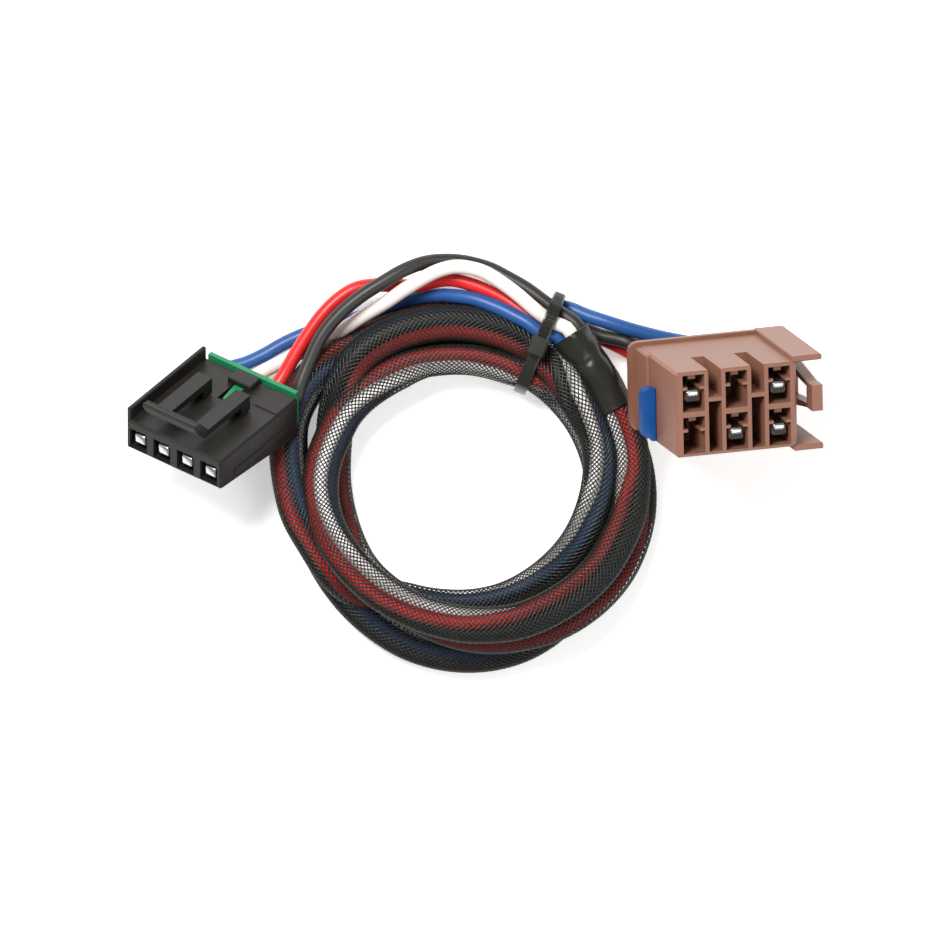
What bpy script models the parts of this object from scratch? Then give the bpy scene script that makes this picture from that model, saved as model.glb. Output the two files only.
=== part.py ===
"""Wiring harness that plugs a trailer brake controller into a vehicle.

A loom of four wires in a braided sleeve lies coiled on the floor, held by a cable tie. Four leads run from the tie
to a black four-way plug, and four more to a brown six-way plug. Metres, +Z up.
"""

import math

import bmesh
import bpy
import numpy as np
from mathutils import Matrix, Vector

MM = 0.001
GAP = 0.3 * MM  # between pieces that touch on the real object
BEYOND = 1.0 * MM  # how far a cutter passes the face that it opens

# Wires and sleeve
WIRE_DIAMETER = 3.85 * MM
SLEEVE_DIAMETER = 9.6 * MM
WIRE_CLEARANCE = 0.4 * MM  # all round a wire in a hole
COLOURS = ("blue", "white", "red", "black")

# Coil: a stack of four turns, two on the floor and two on top of them
COIL_CENTRE = (-3.0 * MM, -21.9 * MM)
COIL_INNER_RADIUS = 28.7 * MM
COIL_OUTER_RADIUS = 50.2 * MM
COIL_HEIGHT = 19.0 * MM
COIL_SHOULDER = 5.5 * MM  # height of the coil's upright outer side
COIL_EDGE = 3.0 * MM  # how far the flat underside stays inside the coil's sides
COIL_STEPS = 56

# Female terminal, 6.3 mm blade size
TERMINAL_WIDTH = 4.25 * MM
TERMINAL_HEIGHT = 3.2 * MM
TERMINAL_BOX_LENGTH = 10.0 * MM
TERMINAL_LENGTH = 22.5 * MM
TERMINAL_NECK_LENGTH = 3.0 * MM
TERMINAL_RECESS = 1.2 * MM  # behind the mating face
BARREL_DIAMETER = 3.8 * MM
BLADE_SLOT = (3.3 * MM, 0.9 * MM)
BLADE_SLOT_DEPTH = 8.0 * MM
TERMINAL_CLEARANCE = 0.3 * MM

# Controller plug: local x to the right, y away from the mating face, z up
CONTROLLER_ORIGIN = (-81.4 * MM, -13.0 * MM, 34.45 * MM)
CONTROLLER_RIGHT = (0.802, -0.366, 0.473)
CONTROLLER_BACK = (0.598, 0.490, -0.634)
CONTROLLER_WIDTH = 32.0 * MM
CONTROLLER_DEPTH = 35.0 * MM
CONTROLLER_TOP = 4.6 * MM
CONTROLLER_FRONT_BOTTOM = -5.0 * MM
CONTROLLER_REAR_BOTTOM = -8.3 * MM
CONTROLLER_PITCH = 7.9 * MM
CONTROLLER_ROW_Z = -1.0 * MM
CONTROLLER_CAVITY = (5.7 * MM, 6.2 * MM)
CONTROLLER_CAVITY_DEPTH = 13.5 * MM
RAIL_THICKNESS = 1.3 * MM
RAIL_TOP = 8.4 * MM
BRIDGE_WIDTH = 7.8 * MM
BRIDGE_LENGTH = 5.0 * MM
BRIDGE_TOP = 6.5 * MM
BRIDGE_SETBACK = 0.6 * MM  # from the rear face

# Controller plug's latch: two arms and a raised cross bar
LATCH_WIDTH = 17.4 * MM
LATCH_ARM_WIDTH = 4.6 * MM
LATCH_ARM_TOP = 9.9 * MM
LATCH_ARM_THICKNESS = 2.1 * MM
LATCH_REAR = 22.9 * MM
LATCH_ROOT_LENGTH = 3.4 * MM
LATCH_ROOT_GAP = 0.4 * MM
LATCH_BAR_TOP = 14.5 * MM
LATCH_BAR_LENGTH = 5.2 * MM

# Controller plug's terminal lock: a plate on the rear face with a tongue under the bridge
LOCK_PLATE_WIDTH = 29.4 * MM
LOCK_PLATE_THICKNESS = 1.4 * MM
LOCK_PLATE_TOP = 5.5 * MM
LOCK_PLATE_BOTTOM = -5.2 * MM
TONGUE_WIDTH = 3.2 * MM
TONGUE_THICKNESS = 1.1 * MM
TONGUE_REACH = 12.0 * MM  # forward from the plate
TONGUE_CLEARANCE = 0.35 * MM
PRONG_LENGTH = 6.0 * MM
PRONG_SIZE = (1.6 * MM, 3.0 * MM)

# Vehicle plug: local x to the right, y away from the mating face, z up
VEHICLE_ORIGIN = (70.7 * MM, -1.1 * MM, 48.5 * MM)
VEHICLE_RIGHT = (0.948, 0.096, -0.3016)
VEHICLE_BACK = (-0.316, 0.233, -0.919)
VEHICLE_WIDTH = 34.4 * MM
VEHICLE_HEIGHT = 23.7 * MM
VEHICLE_DEPTH = 34.0 * MM
VEHICLE_PITCH_X = 12.2 * MM
VEHICLE_PITCH_Z = 11.7 * MM
VEHICLE_CAVITY = (6.2 * MM, 10.2 * MM)
VEHICLE_CAVITY_DEPTH = 13.5 * MM
LEDGE_WIDTH = 1.35 * MM
LEDGE_THICKNESS = 0.8 * MM
LEDGE_DROP = 3.3 * MM  # below the cavity's roof
KEYWAY_WIDTH = 3.7 * MM
KEYWAY_DEPTH = 15.0 * MM
KEYWAY_FLOOR = (3.1 * MM, 4.2 * MM)  # the wall between the open keyway and the pocket below it
KEYWAY_BOTTOM = -10.9 * MM
COLLAR_START = 22.0 * MM
COLLAR_STEP = 0.9 * MM
FLANGE_THICKNESS = 1.6 * MM
FLANGE_LEFT = 2.6 * MM
FLANGE_TOP = 0.95 * MM
FLANGE_RIGHT = 0.7 * MM
FLANGE_CORNER = 2.5 * MM
WING_REACH = 7.4 * MM
WING_THICKNESS = 1.6 * MM
WING_RISE = 1.35 * MM  # of a wing's outer face above the housing's

# Vehicle plug's loop latch
LOOP_THICKNESS = 3.0 * MM
LOOP_MIDDLE_Z = 1.0 * MM
LOOP_FRONT_HEIGHT = 7.2 * MM
LOOP_REAR_HEIGHT = 12.6 * MM
LOOP_START = 0.4 * MM
LOOP_BAR = 4.8 * MM
LOOP_ARM = 1.2 * MM
LOOP_ROOT_START = 21.5 * MM
LOOP_ROOT_LENGTH = 4.5 * MM
LOOP_ROOT_GAP = 0.6 * MM

# Vehicle plug's terminal lock: a plate pushed in through the left side
SIDE_LOCK_START = 17.0 * MM
SIDE_LOCK_THICKNESS = 3.0 * MM
SIDE_LOCK_Z = (-10.2 * MM, 3.7 * MM)
SIDE_LOCK_PROUD = 4.1 * MM
SIDE_LOCK_REACH = 29.0 * MM
SIDE_LOCK_FINGER = 1.6 * MM
SIDE_LOCK_FINGER_Z = (0.0 * MM, -10.3 * MM)
SIDE_LOCK_CLEARANCE = 0.3 * MM
SIDE_LOCK_CORNER = 2.0 * MM

# Cable tie: a band in the upright plane through TIE_CENTRE that TIE_ALONG gives
TIE_CENTRE = (17.3, 16.5)
TIE_ALONG = (0.386, 0.923)
TIE_WIDTH = 3.4 * MM
TIE_THICKNESS = 1.1 * MM
TIE_HEAD = (5.4 * MM, 4.8 * MM, 3.6 * MM)
TIE_HEAD_PLACE = -0.6  # mm along the band's top
TIE_BUNDLE = (
    (-12.8, 6.0), (-11.2, 2.2), (-7.4, 1.25), (0.0, 1.2), (9.2, 1.2), (12.6, 2.6), (14.0, 6.4), (13.9, 10.8),
    (13.0, 15.2), (11.2, 18.4), (7.6, 20.1), (3.2, 19.6), (-2.2, 18.9), (-7.3, 17.6), (-11.0, 15.6), (-12.8, 11.4),
)  # inner surface of the band, in mm: along TIE_ALONG, height

# Heat-shrink sleeves over the ends of the braid: route in mm, then radius
CONTROLLER_SHRINK = ((25.8, 19.4, 16.3), (29.9, 13.0, 16.1), (34.0, 6.3, 15.8), (37.8, -0.6, 15.3))
CONTROLLER_SHRINK_RADIUS = 4.95 * MM
CONTROLLER_LEADS_ROOM = ((9.0, 28.0, 16.6), (14.0, 25.6, 16.4), (20.0, 22.9, 16.3))  # before the mouth
VEHICLE_SHRINK = ((10.6, 22.6, 6.15), (15.0, 23.2, 6.15), (19.4, 24.3, 6.15))
VEHICLE_SHRINK_RADIUS = 4.75 * MM
SHRINK_TRIM = 1.2 * MM  # the slanting ends of the leads need this gap
VEHICLE_LEADS_ROOM = ((23.5, 24.6, 6.1), (28.0, 23.0, 6.0), (33.0, 20.6, 5.9))  # after the mouth

# Routes of the leads, in mm, from the end of the straight stretch behind the plug to the heat-shrink's mouth
STRAIGHT_BEHIND_CONTROLLER = 4.5 * MM
STRAIGHT_BEHIND_VEHICLE = 3.0 * MM
CONTROLLER_ROUTES = {
    "blue": (
        (-61.8, 11.6, 2.7), (-57.0, 13.8, 2.5), (-52.5, 16.4, 2.5), (-47.5, 18.8, 2.5), (-40.5, 21.2, 2.8),
        (-32.5, 23.5, 3.2), (-24.9, 26.0, 4.0), (-16.7, 29.0, 5.6), (-11.1, 29.9, 7.7), (-5.6, 29.7, 10.5),
        (0.0, 28.8, 12.8), (5.4, 26.9, 14.4), (8.1, 25.7, 15.1), (10.8, 24.3, 15.7), (13.8, 22.7, 16.5),
        (18.38, 19.5, 16.9), (22.3, 18.8, 16.3), (23.1, 17.6, 16.2),
    ),
    "white": (
        (-57.0, 9.4, 5.6), (-51.8, 12.1, 5.0), (-45.6, 15.2, 5.2), (-38.1, 19.2, 6.6), (-30.5, 24.0, 9.2),
        (-24.9, 27.4, 11.2), (-19.4, 31.2, 13.4), (-14.9, 34.0, 15.0), (-10.5, 36.3, 15.9), (-5.7, 37.6, 16.3),
        (-1.1, 37.2, 16.7), (2.7, 36.0, 17.0), (7.0, 33.4, 17.3), (11.6, 30.0, 17.4), (15.4, 26.7, 17.3),
        (19.96, 23.2, 17.3), (25.1, 20.8, 19.2), (25.9, 19.5, 19.2),
    ),
    "red": (
        (-52.2, 7.4, 9.9), (-49.1, 12.9, 10.1), (-45.3, 19.0, 10.4), (-41.4, 24.4, 10.6), (-37.0, 28.8, 10.6),
        (-32.6, 31.6, 10.4), (-28.6, 32.5, 10.0), (-24.3, 32.7, 9.6), (-19.4, 32.4, 9.4), (-15.0, 32.6, 9.6),
        (-10.5, 33.8, 10.0), (-6.0, 34.1, 10.3), (0.0, 32.5, 10.9), (5.4, 30.2, 11.5), (8.1, 28.8, 11.9),
        (10.8, 27.0, 12.4), (13.8, 25.0, 12.9), (19.62, 22.04, 13.1), (25.0, 20.7, 13.2), (25.8, 19.45, 13.2),
    ),
    "black": (
        (-47.3, 5.4, 14.5), (-45.3, 10.6, 14.2), (-41.4, 18.9, 14.3), (-37.0, 24.4, 14.5), (-30.9, 29.6, 14.7),
        (-24.9, 33.4, 14.6), (-19.4, 36.6, 13.9), (-13.8, 38.7, 12.5), (-8.4, 39.3, 11.8), (-2.7, 38.9, 11.6),
        (4.0, 37.1, 11.9), (8.2, 35.0, 12.5), (13.8, 31.8, 13.5), (17.8, 28.9, 14.3), (21.4, 26.2, 14.9),
        (27.35, 22.17, 16.25), (28.16, 20.91, 16.3),
    ),
}
VEHICLE_ROUTES = {
    "blue": (
        (19.21, 26.29, 8.13), (21.5, 26.9, 8.4), (25.4, 26.4, 9.9), (30.5, 24.3, 11.1), (35.9, 22.6, 12.0),
        (41.9, 20.7, 11.9), (50.0, 18.6, 10.8), (58.0, 17.0, 8.6), (63.5, 16.0, 7.4), (67.4, 15.5, 7.7),
    ),
    "black": (
        (20.17, 22.45, 8.13), (22.4, 22.8, 8.1), (25.4, 22.0, 8.3), (28.9, 20.9, 8.8), (31.6, 19.9, 9.2),
        (34.3, 18.9, 9.4), (37.8, 18.2, 9.7), (40.8, 17.4, 10.1), (43.2, 15.8, 11.6),
    ),
    "red": (
        (20.17, 22.45, 4.17), (22.4, 22.6, 4.1), (25.2, 21.7, 4.2), (28.9, 20.4, 4.7), (33.8, 18.4, 5.1),
        (37.8, 16.6, 5.2), (41.3, 14.8, 5.0), (45.9, 11.9, 4.5), (51.3, 7.8, 4.6), (55.4, 4.8, 6.2),
    ),
    "white": (
        (19.21, 26.36, 4.17), (21.6, 26.60, 4.2), (25.0, 25.75, 3.9), (28.4, 25.2, 3.0), (33.8, 23.3, 2.2),
        (41.9, 19.9, 2.2), (51.3, 15.1, 2.3), (60.8, 9.5, 2.7), (66.2, 6.0, 4.0),
    ),
}
VEHICLE_CAVITIES = {"blue": (1, 1), "black": (-1, 1), "red": (0, -1), "white": (1, -1)}  # column, row
VEHICLE_CAVITY_NAMES = {(-1, 1): "1", (1, 1): "2", (0, -1): "3", (1, -1): "4"}
POINTS_PER_DIAMETER = 0.62
CORD_SIDES = 2  # bevel resolution

parts = None
cutters = None


def vector(point):
    """A point given in mm, as a vector in metres."""
    return Vector(point) * MM


def start_scene():
    """Empties the scene and makes the collections."""
    global parts, cutters
    for obj in list(bpy.data.objects):
        bpy.data.objects.remove(obj)
    parts = bpy.data.collections.new("brake_controller_harness")
    cutters = bpy.data.collections.new("cutters")
    bpy.context.scene.collection.children.link(parts)
    bpy.context.scene.collection.children.link(cutters)


def material(name, colour, roughness, metallic=0.0):
    made = bpy.data.materials.new(name)
    made.use_nodes = True
    shader = made.node_tree.nodes["Principled BSDF"]
    shader.inputs["Base Color"].default_value = (*colour, 1.0)
    shader.inputs["Roughness"].default_value = roughness
    shader.inputs["Metallic"].default_value = metallic
    made.diffuse_color = (*colour, 1.0)
    return made


def placed(obj, parent=None, finish=None):
    """Puts a new object among the parts."""
    parts.objects.link(obj)
    obj.parent = parent
    if finish:
        obj.data.materials.append(finish)
    return obj


def as_cutter(obj, parent=None):
    cutters.objects.link(obj)
    obj.parent = parent
    obj.hide_render = True
    obj.display_type = "WIRE"
    return obj


def box(name, low, high, bevel=0.0):
    """A box between two corners in metres, with its upright and level edges bevelled alike."""
    mesh = bpy.data.meshes.new(name)
    solid = bmesh.new()
    bmesh.ops.create_cube(solid, size=1.0)
    size = Vector(high) - Vector(low)
    middle = (Vector(high) + Vector(low)) / 2
    bmesh.ops.scale(solid, vec=size, verts=solid.verts)
    bmesh.ops.translate(solid, vec=middle, verts=solid.verts)
    if bevel:
        bmesh.ops.bevel(solid, geom=solid.edges[:], offset=bevel, segments=1, affect="EDGES")
    solid.to_mesh(mesh)
    solid.free()
    return bpy.data.objects.new(name, mesh)


def boolean(obj, other, operation):
    modifier = obj.modifiers.new(f"{operation.lower()} {other.name}", "BOOLEAN")
    modifier.operation = operation
    modifier.object = other


def add(obj, low, high, parent, bevel=0.0):
    boolean(obj, as_cutter(box("join", low, high, bevel), parent), "UNION")


def cut(obj, low, high, parent, bevel=0.0):
    boolean(obj, as_cutter(box("cut", low, high, bevel), parent), "DIFFERENCE")


def applied(obj):
    """The object with its modifiers applied, as a mesh of its own."""
    bpy.context.view_layer.update()
    graph = bpy.context.evaluated_depsgraph_get()
    mesh = bpy.data.meshes.new_from_object(obj.evaluated_get(graph))
    solid = bmesh.new()
    solid.from_mesh(mesh)
    bmesh.ops.remove_doubles(solid, verts=solid.verts, dist=0.001 * MM)
    solid.to_mesh(mesh)
    solid.free()
    return mesh


def add_splines(curve, outlines, closed):
    for outline in outlines:
        spline = curve.splines.new("POLY")
        spline.points.add(len(outline) - 1)
        for point, place in zip(spline.points, outline):
            point.co = (*place, 1.0) if len(place) == 3 else (*place, 0.0, 1.0)
        spline.use_cyclic_u = closed


def plate(name, outlines, thickness, matrix):
    """A flat solid with the given outlines, a hole where one is inside another, moved by a matrix.

    The curve is drawn in millimetres, because its faces are filled more reliably at that size.
    """
    curve = bpy.data.curves.new(name, "CURVE")
    curve.dimensions = "2D"
    curve.fill_mode = "BOTH"
    curve.extrude = thickness / MM / 2
    add_splines(curve, [[(a / MM, b / MM) for a, b in outline] for outline in outlines], True)
    return meshed(bpy.data.objects.new(name, curve), matrix @ Matrix.Scale(MM, 4), name)


def tube(name, route, radius, step=None):
    """A round solid with flat ends along a route given in mm."""
    curve = bpy.data.curves.new(name, "CURVE")
    curve.dimensions = "3D"
    curve.bevel_depth = radius
    curve.bevel_resolution = CORD_SIDES
    curve.use_fill_caps = True
    add_splines(curve, [smooth_route(route, step or 2 * radius / POINTS_PER_DIAMETER)], False)
    return bpy.data.objects.new(name, curve)


def meshed(curve_obj, matrix, name):
    """A mesh object made from a curve object's solid, and the curve removed."""
    cutters.objects.link(curve_obj)
    mesh = applied(curve_obj)
    bpy.data.objects.remove(curve_obj)
    mesh.transform(matrix)
    return bpy.data.objects.new(name, mesh)


def side_view(thickness_centre=0.0):
    """Turns a flat outline drawn as (y, z) into a plug's frame, thick along x."""
    columns = Matrix(((0, 0, 1), (1, 0, 0), (0, 1, 0))).to_4x4()
    return Matrix.Translation((thickness_centre, 0, 0)) @ columns


def plug_frame(name, origin, right, back):
    """An empty that holds a plug's pieces: local x is right, y is back."""
    x = Vector(right).normalized()
    y = Vector(back)
    y = (y - y.project(x)).normalized()
    turn = Matrix((x, y, x.cross(y))).transposed().to_4x4()
    frame = bpy.data.objects.new(name, None)
    parts.objects.link(frame)
    frame.matrix_world = Matrix.Translation(origin) @ turn
    bpy.context.view_layer.update()
    return frame


def smooth_route(points, step):
    """Evenly spaced points, in metres, on a centripetal Catmull-Rom curve through points given in mm."""
    knots = np.array(points, float)
    ends = np.vstack([2 * knots[0] - knots[1], knots, 2 * knots[-1] - knots[-2]])
    fine = []
    for a, b, c, d in zip(ends[:-3], ends[1:-2], ends[2:-1], ends[3:]):
        t0 = 0.0
        t1 = t0 + math.sqrt(np.linalg.norm(b - a))
        t2 = t1 + math.sqrt(np.linalg.norm(c - b))
        t3 = t2 + math.sqrt(np.linalg.norm(d - c))
        for t in np.linspace(t1, t2, 12, endpoint=False):
            ab = (t1 - t) / (t1 - t0) * a + (t - t0) / (t1 - t0) * b
            bc = (t2 - t) / (t2 - t1) * b + (t - t1) / (t2 - t1) * c
            cd = (t3 - t) / (t3 - t2) * c + (t - t2) / (t3 - t2) * d
            abc = (t2 - t) / (t2 - t0) * ab + (t - t0) / (t2 - t0) * bc
            bcd = (t3 - t) / (t3 - t1) * bc + (t - t1) / (t3 - t1) * cd
            fine.append((t2 - t) / (t2 - t1) * abc + (t - t1) / (t2 - t1) * bcd)
    fine = np.array([*fine, knots[-1]]) * MM
    along = np.concatenate([[0.0], np.cumsum(np.linalg.norm(np.diff(fine, axis=0), axis=1))])
    count = max(2, round(along[-1] / step) + 1)
    places = np.linspace(0.0, along[-1], count)
    return [tuple(float(np.interp(s, along, fine[:, i])) for i in range(3)) for s in places]


def in_world(frame, point):
    """A point of a plug's frame, in metres, as world coordinates in mm."""
    return tuple(frame.matrix_world @ Vector(point) / MM)


# ---------------------------------------------------------------------------------------------------- terminals


def terminal_mesh():
    """A female terminal from its mouth at y = 0 to the end of its crimp barrel."""
    half = TERMINAL_WIDTH / 2
    tall = TERMINAL_HEIGHT / 2
    body = box("terminal", (-half, 0, -tall), (half, TERMINAL_BOX_LENGTH, tall), bevel=0.35 * MM)
    cutters.objects.link(body)
    neck_end = TERMINAL_BOX_LENGTH + TERMINAL_NECK_LENGTH
    add(body, (-half * 0.6, TERMINAL_BOX_LENGTH - BEYOND, -tall * 0.7), (half * 0.6, neck_end + BEYOND, tall * 0.3), None)
    barrel = bmesh.new()
    bmesh.ops.create_cone(
        barrel,
        cap_ends=True,
        segments=12,
        radius1=BARREL_DIAMETER / 2,
        radius2=BARREL_DIAMETER / 2,
        depth=TERMINAL_LENGTH - neck_end,
        matrix=Matrix.Translation((0, (TERMINAL_LENGTH + neck_end) / 2, 0)) @ Matrix.Rotation(math.pi / 2, 4, "X"),
    )
    barrel_mesh = bpy.data.meshes.new("barrel")
    barrel.to_mesh(barrel_mesh)
    barrel.free()
    boolean(body, as_cutter(bpy.data.objects.new("barrel", barrel_mesh)), "UNION")
    slot_half = BLADE_SLOT[0] / 2
    slot_low = -tall + 0.7 * MM
    cut(body, (-slot_half, -BEYOND, slot_low), (slot_half, BLADE_SLOT_DEPTH, slot_low + BLADE_SLOT[1]), None)
    mesh = applied(body)
    bpy.data.objects.remove(body)
    return mesh


def add_terminal(name, mesh, frame, x, z):
    terminal = placed(bpy.data.objects.new(name, mesh), frame)
    terminal.location = (x, TERMINAL_RECESS, z)


def wire_start():
    """Where a wire begins inside its plug, behind the terminal."""
    return TERMINAL_RECESS + TERMINAL_LENGTH + GAP


# ------------------------------------------------------------------------------------------- controller plug


def controller_columns():
    return [(i - 1.5) * CONTROLLER_PITCH for i in range(len(COLOURS))]


def cut_wire_hole(obj, frame, x, z, start, end):
    half = max(WIRE_DIAMETER, BARREL_DIAMETER) / 2 + WIRE_CLEARANCE
    cut(obj, (x - half, start - BEYOND, z - half), (x + half, end + BEYOND, z + half), frame)


def controller_housing(frame, finish):
    half = CONTROLLER_WIDTH / 2
    housing = box(
        "controller_plug_housing", (-half, 0, CONTROLLER_FRONT_BOTTOM), (half, CONTROLLER_DEPTH, CONTROLLER_TOP)
    )
    for vertex in housing.data.vertices:
        if vertex.co.y > 0 and vertex.co.z < 0:
            vertex.co.z = CONTROLLER_REAR_BOTTOM
    placed(housing, frame, finish)
    edges = housing.modifiers.new("edges", "BEVEL")
    edges.width = 0.6 * MM
    edges.segments = 1
    rail_low = (-half, 0.3 * MM, CONTROLLER_TOP - 2 * MM)
    add(housing, rail_low, (-half + RAIL_THICKNESS, CONTROLLER_DEPTH - GAP, RAIL_TOP), frame, 0.3 * MM)
    bridge_end = CONTROLLER_DEPTH - BRIDGE_SETBACK
    bridge_half = BRIDGE_WIDTH / 2
    bridge_low = (-bridge_half, bridge_end - BRIDGE_LENGTH, CONTROLLER_TOP - 2 * MM)
    add(housing, bridge_low, (bridge_half, bridge_end, BRIDGE_TOP), frame, 0.3 * MM)
    # The tongue's groove runs under the bridge and opens at the rear.
    groove_half = TONGUE_WIDTH / 2 + TONGUE_CLEARANCE
    groove_low = CONTROLLER_TOP - TONGUE_THICKNESS - TONGUE_CLEARANCE
    groove_start = CONTROLLER_DEPTH - TONGUE_REACH - 2 * TONGUE_CLEARANCE
    cut(
        housing,
        (-groove_half, groove_start, groove_low),
        (groove_half, CONTROLLER_DEPTH + BEYOND, CONTROLLER_TOP + TONGUE_CLEARANCE),
        frame,
    )
    width, height = CONTROLLER_CAVITY
    for x in controller_columns():
        low = (x - width / 2, -BEYOND, CONTROLLER_ROW_Z - height / 2)
        cut(housing, low, (x + width / 2, CONTROLLER_CAVITY_DEPTH, CONTROLLER_ROW_Z + height / 2), frame)
        cut_wire_hole(housing, frame, x, CONTROLLER_ROW_Z, CONTROLLER_CAVITY_DEPTH, CONTROLLER_DEPTH)
    # Slots for the lock's prongs, between the wire holes.
    prong_half, prong_tall = (side / 2 + TONGUE_CLEARANCE for side in PRONG_SIZE)
    for x in prong_columns():
        low = (x - prong_half, CONTROLLER_DEPTH - PRONG_LENGTH - TONGUE_CLEARANCE, CONTROLLER_ROW_Z - prong_tall)
        cut(housing, low, (x + prong_half, CONTROLLER_DEPTH + BEYOND, CONTROLLER_ROW_Z + prong_tall), frame)
    return housing


def prong_columns():
    columns = controller_columns()
    return [(a + b) / 2 for a, b in zip(columns, columns[1:])]


def controller_lock(frame, finish):
    """Its plate stands on the housing's rear face: notches clear the wires, and prongs go in between them."""
    start = CONTROLLER_DEPTH + GAP
    end = start + LOCK_PLATE_THICKNESS
    half = LOCK_PLATE_WIDTH / 2
    lock = placed(box("controller_plug_lock", (-half, start, LOCK_PLATE_BOTTOM), (half, end, LOCK_PLATE_TOP)), frame, finish)
    notch_half = WIRE_DIAMETER / 2 + 2 * WIRE_CLEARANCE
    for x in controller_columns():
        low = (x - notch_half, start - BEYOND, LOCK_PLATE_BOTTOM - BEYOND)
        cut(lock, low, (x + notch_half, end + BEYOND, CONTROLLER_ROW_Z + notch_half), frame)
    prong_half, prong_tall = (side / 2 for side in PRONG_SIZE)
    for x in prong_columns():
        low = (x - prong_half, CONTROLLER_DEPTH - PRONG_LENGTH, CONTROLLER_ROW_Z - prong_tall)
        add(lock, low, (x + prong_half, end - 0.3 * MM, CONTROLLER_ROW_Z + prong_tall), frame)
    tongue_half = TONGUE_WIDTH / 2
    outline = (
        (-tongue_half, end - 0.3 * MM),
        (-tongue_half, CONTROLLER_DEPTH - 0.45 * TONGUE_REACH),
        (-tongue_half * 0.35, CONTROLLER_DEPTH - TONGUE_REACH),
        (tongue_half * 0.35, CONTROLLER_DEPTH - TONGUE_REACH),
        (tongue_half, CONTROLLER_DEPTH - 0.45 * TONGUE_REACH),
        (tongue_half, end - 0.3 * MM),
    )
    height = CONTROLLER_TOP - TONGUE_THICKNESS / 2
    tongue = plate("tongue", [outline], TONGUE_THICKNESS, Matrix.Translation((0, 0, height)))
    boolean(lock, as_cutter(tongue, frame), "UNION")
    return lock


def controller_latch(frame, finish):
    """Two arms joined by a raised hook bar at the front. Its root stands just clear of the housing's top."""
    arm_under = LATCH_ARM_TOP - LATCH_ARM_THICKNESS
    root = CONTROLLER_TOP + LATCH_ROOT_GAP
    bar = LATCH_BAR_LENGTH
    outline = (
        (LATCH_REAR, root),
        (LATCH_REAR, LATCH_ARM_TOP),
        (bar - 1.2 * MM, LATCH_ARM_TOP),
        (bar - 5.2 * MM, LATCH_BAR_TOP),
        (bar - 7.0 * MM, LATCH_BAR_TOP - 0.1 * MM),
        (bar - 7.5 * MM, LATCH_BAR_TOP - 0.8 * MM),
        (bar - 5.2 * MM, LATCH_ARM_TOP + 0.2 * MM),
        (bar - 2.6 * MM, arm_under),
        (LATCH_REAR - LATCH_ROOT_LENGTH - 0.6 * MM, arm_under),
        (LATCH_REAR - LATCH_ROOT_LENGTH, root),
    )
    latch = plate("controller_plug_latch", [outline], LATCH_WIDTH, side_view())
    placed(latch, frame, finish)
    window_half = LATCH_WIDTH / 2 - LATCH_ARM_WIDTH
    cut(latch, (-window_half, bar - 2.0 * MM, root - BEYOND), (window_half, LATCH_REAR + BEYOND, LATCH_BAR_TOP), frame)
    return latch


def controller_plug(frame, finishes, terminal):
    housing = controller_housing(frame, finishes["black plastic"])
    controller_latch(frame, finishes["black plastic"])
    controller_lock(frame, finishes["green plastic"])
    for number, x in enumerate(controller_columns(), 1):
        add_terminal(f"controller_terminal_{number}", terminal, frame, x, CONTROLLER_ROW_Z)
    return housing


# ---------------------------------------------------------------------------------------------- vehicle plug


def terminal_height(row):
    """Height of a terminal's axis in its cavity: its roof is just under the ledges."""
    roof = row * VEHICLE_PITCH_Z / 2 + VEHICLE_CAVITY[1] / 2
    return roof - LEDGE_DROP - LEDGE_THICKNESS - TERMINAL_CLEARANCE - TERMINAL_HEIGHT / 2


def cut_vehicle_cavity(housing, frame, column, row):
    """One cavity: full width above and below two side ledges, then a hole for the wire."""
    x = column * VEHICLE_PITCH_X
    middle = row * VEHICLE_PITCH_Z / 2
    width, height = VEHICLE_CAVITY
    roof = middle + height / 2
    ledge_top = roof - LEDGE_DROP
    ledge_under = ledge_top - LEDGE_THICKNESS
    end = VEHICLE_CAVITY_DEPTH
    cut(housing, (x - width / 2, -BEYOND, ledge_top), (x + width / 2, end, roof), frame)
    cut(housing, (x - width / 2, -BEYOND, middle - height / 2), (x + width / 2, end, ledge_under), frame)
    neck = width / 2 - LEDGE_WIDTH
    cut(housing, (x - neck, -BEYOND, ledge_under - BEYOND), (x + neck, end - GAP, ledge_top + BEYOND), frame)
    cut_wire_hole(housing, frame, x, terminal_height(row), end, VEHICLE_DEPTH)


def round_left_corners(mesh, left, radius):
    """Rounds the two edges of a box that run front to back on its left side."""
    solid = bmesh.new()
    solid.from_mesh(mesh)
    edges = [
        edge
        for edge in solid.edges
        if all(abs(v.co.x - left) < 0.01 * MM for v in edge.verts)
        and abs(edge.verts[0].co.y - edge.verts[1].co.y) > 0.5 * MM
        and abs(edge.verts[0].co.z - edge.verts[1].co.z) < 0.01 * MM
    ]
    bmesh.ops.bevel(solid, geom=edges, offset=radius, segments=3, profile=0.5, affect="EDGES")
    solid.to_mesh(mesh)
    solid.free()


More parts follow.
